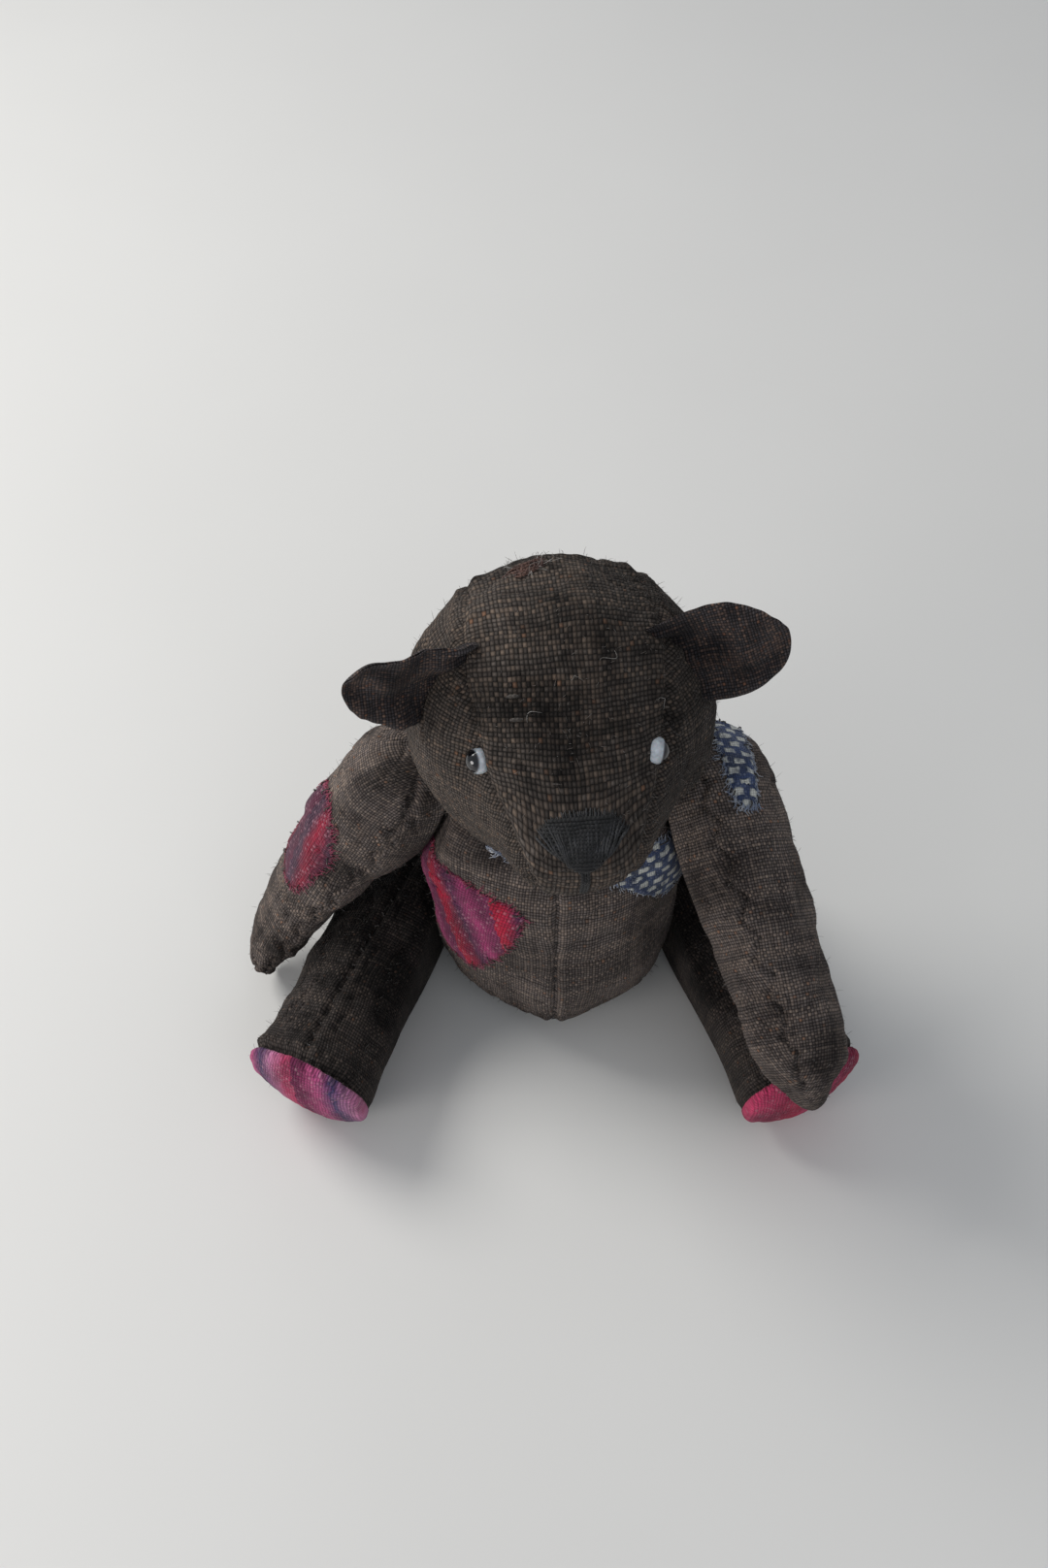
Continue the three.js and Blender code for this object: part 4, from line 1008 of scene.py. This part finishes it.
def make_patch(patch):
    """A mend laid on the cloth: a thin wavy sheet, its stitches and its frayed edge threads."""
    rng = np.random.default_rng(SEED + patch["seed"])
    cover, name = patch["on"], patch["name"]
    side, up, axis, centre = patch_basis(patch)
    rings, m = PATCH_GRID
    rim = smooth_outline(patch["outline"], m)
    middle = rim.mean(axis=0)
    ragged = 1 + 0.02 * np.cumsum(rng.normal(size=m)) / 4
    ragged = ragged - np.linspace(0, ragged[-1] - ragged[0], m) + 0.012 * rng.normal(size=m)
    rim = middle + (rim - middle) * ragged[:, None]
    share = np.linspace(0, 1, rings + 1)[:, None, None]
    flat_points = disc_list(middle + (rim - middle)[None] * share)
    level = disc_list(share.repeat(m, 1))[:, 0]
    outer, inner = [], []
    for (a, b), k in zip(flat_points, level):
        place, normal = cover.struck(centre + side * a + up * b + axis * 60, -axis)
        if place is None:
            place, normal = cover.onto(centre + side * a + up * b + axis * 12)
        wave = 0.14 * math.sin(a * 1.1 + patch["seed"]) * math.cos(b * 0.9)
        raised = 0.62 + wave * (1 - k**4) - 0.3 * k**10
        outer.append(place + normal * raised)
        inner.append(place + normal * (raised - PATCH_THICKNESS))
    points = np.array(outer + inner)
    faces = facing_out(points, sheet_faces(rings, m))
    uv = corners(np.tile(flat_points, (2, 1)), faces)
    piece = make_piece(f"{name}_cloth", points, faces, patch["cloth"], uv)
    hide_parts(name)
    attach(piece, cover.body)
    rim_points = points[len(outer) - m:len(outer)]
    out = unit(rim_points - points[0])
    fringe, stitches = [], []
    steps = np.linspace(0, 1, 5)
    for j in range(m):
        for _ in range(patch["fray"]):
            base = rim_points[j] - out[j] * 0.3 + rng.normal(size=3) * 0.12
            heading = unit(out[j] + 0.55 * rng.normal(size=3))
            length = rng.uniform(0.6, 2.0)
            path = [base + heading * length * t + 0.25 * length * t * t * rng.normal(size=3) for t in steps]
            fringe.append([cover.onto(q, 0.2 + 0.35 * (1 - t))[0] for q, t in zip(path, steps)])
    for j in range(0, m, patch["stitch_every"]):
        lean = rng.normal(size=3) * 0.35
        start, end = rim_points[j] - out[j] * 1.3 + lean, rim_points[j] + out[j] * 1.0 - lean
        stitch = []
        for t in np.linspace(0, 1, 7):
            lift = 0.12 + 0.85 * math.sin(math.pi * min(t * 1.2, 1))
            stitch.append(cover.onto(start + (end - start) * t, lift)[0])
        stitches.append(stitch)
    body, slot = cover.body, patch["slot"]
    fray = add_tubes(f"{name}_fray", fringe, THREAD["fray"], patch["fray_thread"], body, 4)
    sewn = add_tubes(f"{name}_stitches", stitches, THREAD["sewn"], patch["thread"], body, 5)


# ---------------------------------------------------------------- loose fibres and seam stitches
def add_fuzz(cover, count, fibres, seed):
    """Short loose fibres that stand off the cloth where nothing presses on it."""
    rng = np.random.default_rng(SEED + seed)
    weight = (cover.round * np.gradient(cover.run.mean(axis=1))[:, None] * (1 - cover.pressed) ** 4).ravel()
    spots = rng.choice(weight.size, count, p=weight / weight.sum())
    base = cover.points.reshape(-1, 3)[spots]
    normal = cover.normal.reshape(-1, 3)[spots]
    heading = unit(normal + 0.75 * rng.normal(size=(count, 3)))
    bend = unit(rng.normal(size=(count, 3)))
    size = rng.uniform(0.4, 1.4, count)[:, None]
    paths = np.stack([base - 0.15 * normal + heading * size * t + bend * size * 0.6 * t * t
                      for t in np.linspace(0, 1, 4)], 1)
    paths[..., 2] = np.maximum(paths[..., 2], 0.1)
    add_tubes(f"{cover.body}_fuzz", paths, rng.uniform(0.022, 0.045, count), fibres, cover.body,
              3, 0.3)


def add_seam_stitches(cover, column_angle, offset, pitch, thread, name, span=(0.05, 0.95), reach=0.75):
    """Short stitches that cross a lengthwise seam and draw it in."""
    rng = np.random.default_rng(SEED + 91)
    paths, last = [], -1e9
    column = cover.column(column_angle)
    for i in range(2, cover.rings - 2):
        along = cover.run[i, column]
        share = along / cover.run[-1, column]
        if not span[0] < share < span[1] or along - last < pitch:
            continue
        j = int(np.argmin(np.abs(offset[i])))
        if cover.pressed[i, j] > 0.2:
            continue
        last = along
        around = unit(cover.points[i, (j + 3) % cover.segments] - cover.points[i, (j - 3) % cover.segments])
        lengthwise = unit(cover.points[min(i + 3, cover.rings)][j] - cover.points[i - 2][j])
        heading = unit(around + lengthwise * rng.uniform(-0.2, 0.5))
        paths.append([cover.onto(cover.points[i, j] + heading * reach * t, 0.1 + 0.12 * (1 - t * t))[0]
                      for t in np.linspace(-1, 1, 7)])
    add_tubes(name, paths, THREAD["seam"], thread, cover.body, 5, 0.6)


def add_darn(skull, thread, fibres):
    """A small darn on the crown: a few long stitches with others run across them, their ends left loose."""
    rng = np.random.default_rng(SEED + 80)
    paths = []
    for k, across in enumerate(np.linspace(-2.2, 2.2, 9)):
        ends = 3.0 + rng.uniform(-0.6, 0.8, 2)
        paths.append([(-ends[0] + (ends[0] + ends[1]) * t, across + 0.15 * math.sin(6 * t + k),
                       0.28 + 0.12 * math.sin(8 * t + math.pi * (k % 2))) for t in np.linspace(0, 1, 11)])
    for k, along in enumerate(np.linspace(-2.4, 2.4, 7)):
        ends = 2.2 + rng.uniform(-0.4, 0.6, 2)
        paths.append([(along + 0.15 * math.sin(5 * t + k), -ends[0] + (ends[0] + ends[1]) * t,
                       0.3 - 0.12 * math.sin(8 * t + math.pi * (k % 2))) for t in np.linspace(0, 1, 11)])
    placed = []
    for path in paths:
        spots = [head_point(DARN[0] + a, DARN[1] - 0.7 * b - 0.35 * a, DARN[2] + 0.3 * a + 0.7 * b)
                 for a, b, _ in path]
        placed.append([skull.onto(spot, row[2])[0] for spot, row in zip(spots, path)])
    add_tubes("crown_darn", placed, THREAD["darn"], thread, "head", 5)
    loose = []
    for _ in range(16):
        start = head_point(DARN[0] + rng.uniform(-3.5, 3.5), DARN[1] + rng.uniform(-2, 2), DARN[2])
        base, normal = skull.onto(start, 0.2)
        heading, bend = unit(normal + 1.1 * rng.normal(size=3)), rng.normal(size=3)
        size = rng.uniform(1.5, 4)
        loose.append([base + heading * size * t + bend * size * 0.45 * math.sin(3 * t) * t for t in
                      np.linspace(0, 1, 9)])
    add_tubes("crown_fray", loose, THREAD["loose"], fibres, "head", 4)


def add_lint(skull, fibres, thread):
    """Curls of lint caught on the head, and slubs where a thread was spun too thick."""
    rng = np.random.default_rng(SEED + 85)
    paths = []
    for side, forward, up, size in LINT:
        base, normal = skull.onto(head_point(side, forward, up), 0.25)
        a = unit(np.cross(normal, rng.normal(size=3)))
        b = np.cross(normal, a)
        turns = rng.uniform(0.5, 1.1)
        path = [base + size * (a * (t - 0.5) + b * 0.35 * math.sin(TAU * turns * t)) + normal * 0.3
                * math.sin(math.pi * t) for t in np.linspace(0, 1, 15)]
        paths.append([skull.onto(q, 0.2 + 0.35 * math.sin(math.pi * t))[0] for q, t in
                      zip(path, np.linspace(0, 1, 15))])
    add_tubes("head_lint", paths, THREAD["lint"], fibres, "head", 4)
    slubs = []
    for side, forward, up in SLUBS:
        row = [head_point(side + t, forward, up) for t in np.linspace(-1.1, 1.1, 7)]
        slubs.append([skull.onto(spot, 0.1)[0] for spot in row])
    add_tubes("head_slubs", slubs, THREAD["slub"], thread, "head", 7, 0.3)


# ---------------------------------------------------------------- scene
def aim_along(thing, location, direction):
    thing.location = location
    thing.rotation_mode = "QUATERNION"
    thing.rotation_quaternion = Vector(direction).to_track_quat("-Z", "Y")
    bpy.context.scene.collection.objects.link(thing)


def make_studio():
    world = bpy.data.worlds.new("studio")
    world.use_nodes = True
    for key, value in SKY.items():
        world.node_tree.nodes["Background"].inputs[key].default_value = value
    bpy.context.scene.world = world
    bpy.context.scene.view_settings.view_transform = "Standard"
    for name, location, size, power, colour in LIGHTS:
        data = bpy.data.lights.new(name, "AREA")
        data.shape = "DISK"
        data.size = size
        data.energy = power
        data.color = colour
        aim_along(bpy.data.objects.new(name, data), location, Vector(LIGHTS_MEET) - Vector(location))
    ends = ((-1, -1), (1, -1), (1, 1), (-1, 1))
    floor_points = [(x * FLOOR_REACH, y * FLOOR_REACH, FLOOR_LEVEL) for x, y in ends]
    floor = make_piece("floor", floor_points, [(0, 1, 2, 3)], floor_material(), smooth_shade=False)


def make_camera():
    data = bpy.data.cameras.new("camera")
    data.sensor_width = 36
    data.lens = CAMERA["lens"]
    data.clip_start = 0.01
    camera = bpy.data.objects.new("camera", data)
    aim_along(camera, CAMERA["place"], CAMERA["aim"])
    bpy.context.scene.camera = camera


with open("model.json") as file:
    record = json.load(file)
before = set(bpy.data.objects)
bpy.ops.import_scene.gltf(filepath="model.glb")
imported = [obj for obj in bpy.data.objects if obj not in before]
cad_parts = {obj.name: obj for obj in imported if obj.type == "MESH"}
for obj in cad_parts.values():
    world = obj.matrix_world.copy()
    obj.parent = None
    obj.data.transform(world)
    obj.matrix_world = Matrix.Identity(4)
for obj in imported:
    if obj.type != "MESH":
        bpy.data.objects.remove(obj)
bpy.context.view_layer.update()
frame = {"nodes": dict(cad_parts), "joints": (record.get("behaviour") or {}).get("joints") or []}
NECK = np.array(next(j for j in frame["joints"] if j["child"] == "head")["pos_m"], float) / MM
make_studio()
make_camera()

head_linen = linen("head_linen", PITCH["head"],
                   (0.005, 0.0039, 0.0036), (0.12, 0.1, 0.087), (0.135, 0.1, 0.077), 1.25)
body_linen = linen("body_linen", PITCH["body"],
                   (0.02, 0.016, 0.015), (0.19, 0.158, 0.145), (0.22, 0.17, 0.14), 1.3, 1.3)
leg_linen = linen("leg_linen", PITCH["leg"],
                  (0.0025, 0.002, 0.002), (0.07, 0.058, 0.053), (0.08, 0.062, 0.052), 1.4)
ear_linen = linen("ear_linen", PITCH["ear"],
                  (0.008, 0.0072, 0.009), (0.1, 0.088, 0.09), (0.16, 0.1, 0.075), 1.2)
sole_wools = {
    "left": striped_wool("sole_wool_left", [(0.5, 0.02, 0.07), (0.3, 0.015, 0.06), (0.6, 0.05, 0.14)], 4.5,
                         0.2),
    "right": striped_wool("sole_wool_right", [(0.5, 0.05, 0.13), (0.55, 0.2, 0.36), (0.05, 0.045, 0.13),
                                              (0.55, 0.1, 0.25), (0.2, 0.02, 0.08)], 3.4, -0.15),
}
belly_wool = striped_wool("belly_wool", [(0.45, 0.015, 0.045), (0.1, 0.03, 0.075), (0.5, 0.06, 0.2),
                                         (0.2, 0.03, 0.09)], 3.2, 0.5)
arm_wool = striped_wool("arm_wool", [(0.07, 0.035, 0.06), (0.3, 0.012, 0.035), (0.075, 0.035, 0.06),
                                     (0.1, 0.025, 0.05)], 3.2, 0.15)
indigo = dashed_cotton("indigo_dashes", (0.014, 0.024, 0.06), (0.6, 0.6, 0.55))
black_thread = thread_material("black_thread", (0.002, 0.002, 0.0022), (0.012, 0.012, 0.014), 0.8, 0.05)
# The nose's satin thread: its paler colour on the plies is wear and painted highlight.
worn_highlight_black = thread_material("worn_highlight_black_thread", (0.0018, 0.0018, 0.002), (0.032, 0.032, 0.037), 0.6, 0.08)
brown_thread = thread_material("brown_thread", (0.012, 0.009, 0.008), (0.06, 0.045, 0.038))
rust_thread = thread_material("rust_thread", (0.05, 0.02, 0.014), (0.16, 0.075, 0.05))
slub_thread = thread_material("slub_thread", (0.02, 0.016, 0.013), (0.07, 0.055, 0.045))
magenta_fray = thread_material("magenta_fray", (0.2, 0.012, 0.04), (0.45, 0.07, 0.16))
cream_fray = thread_material("cream_fray", (0.2, 0.24, 0.34), (0.75, 0.74, 0.7))
brown_fibres = fibre_material("brown_fibres", ((0.03, 0.024, 0.021), (0.12, 0.095, 0.08)))
dark_fibres = fibre_material("dark_fibres", ((0.008, 0.007, 0.006), (0.03, 0.025, 0.022)))
pale_fibres = fibre_material("pale_fibres", ((0.12, 0.105, 0.09), (0.34, 0.32, 0.3)))

torso = make_torso(body_linen)
head = make_head(head_linen)
arms = {name: make_arm(name, side, body_linen) for name, side in SIDES.items()}
legs = {name: make_leg(name, side, leg_linen, sole_wools[name]) for name, side in SIDES.items()}
make_ears(ear_linen, ear_linen)
for eye_name in EYES:
    make_eye(eye_name, eye_glass(f"eye_glass_{eye_name}"), head)
make_nose(head, black_thread, worn_highlight_black)

magenta = {"slot": "magenta_wool", "fray": 2, "stitch_every": 9, "fray_thread": magenta_fray,
           "thread": brown_thread}
blue = {"slot": "indigo_cloth", "fray": 3, "stitch_every": 10, "fray_thread": cream_fray,
        "thread": brown_thread}
PATCHES = [
    {"name": "belly_patch", "on": torso, "cloth": belly_wool, "seed": 100, "centre": (0, 0, 0), **magenta,
     "outline": [(11, 43.5), (3, 25), (-9.5, 29), (-15, 48), (-2, 48)], "axis": (-0.75, 0.66, 0),
     "flat": (0.028, 0.026), "area": 0.00055},
    {"name": "chest_patch", "on": torso, "cloth": indigo, "seed": 110, "centre": (0, 0, 0), **blue,
     "outline": [(-15, 57.5), (-9, 54.5), (5, 50.5), (19, 41), (23, 50), (15, 56.5), (0, 58)],
     "axis": (0.3, 0.95, 0), "flat": (0.048, 0.018), "area": 0.0004},
    {"name": "shoulder_patch", "on": arms["left"], "cloth": indigo, "seed": 120, "centre": (12, 0, 0), **blue,
     "outline": [(-1.5, -9), (3, -9), (3.4, 10), (-1.6, 10)], "axis": (0.3, 0.85, 0.45),
     "flat": (0.014, 0.024), "area": 0.00026},
    {"name": "arm_patch", "on": arms["right"], "cloth": arm_wool, "seed": 130, "centre": (12, 0, -19),
     **magenta, "outline": [(-7, -10), (6, -11), (7, 8), (-5, 10)], "axis": (1, 0.25, 0),
     "flat": (0.019, 0.023), "area": 0.00037},
]
for mend in PATCHES:
    make_patch(mend)

front_zigzag = 0.9 * np.arcsin(np.sin(TAU * arms["left"].along / 7.5))
for limb_name, arm in arms.items():
    add_seam_stitches(arm, FRONT, arm.from_column(FRONT) + front_zigzag, 3.0, brown_thread,
                      f"arm_{limb_name}_seam")
for limb_name, leg in legs.items():
    add_seam_stitches(leg, FRONT, leg.from_column(FRONT), 2.8, brown_thread, f"leg_{limb_name}_seam",
                      (0.05, 0.8))
add_seam_stitches(torso, FRONT, torso.from_column(FRONT), 2.6, brown_thread, "belly_seam", (0.05, 0.75))
add_seam_stitches(torso, BACK, torso.from_column(BACK), 2.6, brown_thread, "back_seam", (0.05, 0.9))
add_darn(head, rust_thread, pale_fibres)
add_lint(head, pale_fibres, slub_thread)
fuzzy = [(head, 2600, brown_fibres), (torso, 1200, brown_fibres)]
fuzzy += [(arm, 900, brown_fibres) for arm in arms.values()]
fuzzy += [(leg, 700, dark_fibres) for leg in legs.values()]
for k, (cover, count, fibres) in enumerate(fuzzy):
    add_fuzz(cover, count, fibres, 140 + k)

hardware = {"disc": board_material(), "washer": steel_material()}
for node_name, node in frame["nodes"].items():
    if node.hide_render:
        continue
    finish = hardware["disc" if "disc" in node_name else "washer"]
    node.data.materials.clear()
    node.data.materials.append(finish)
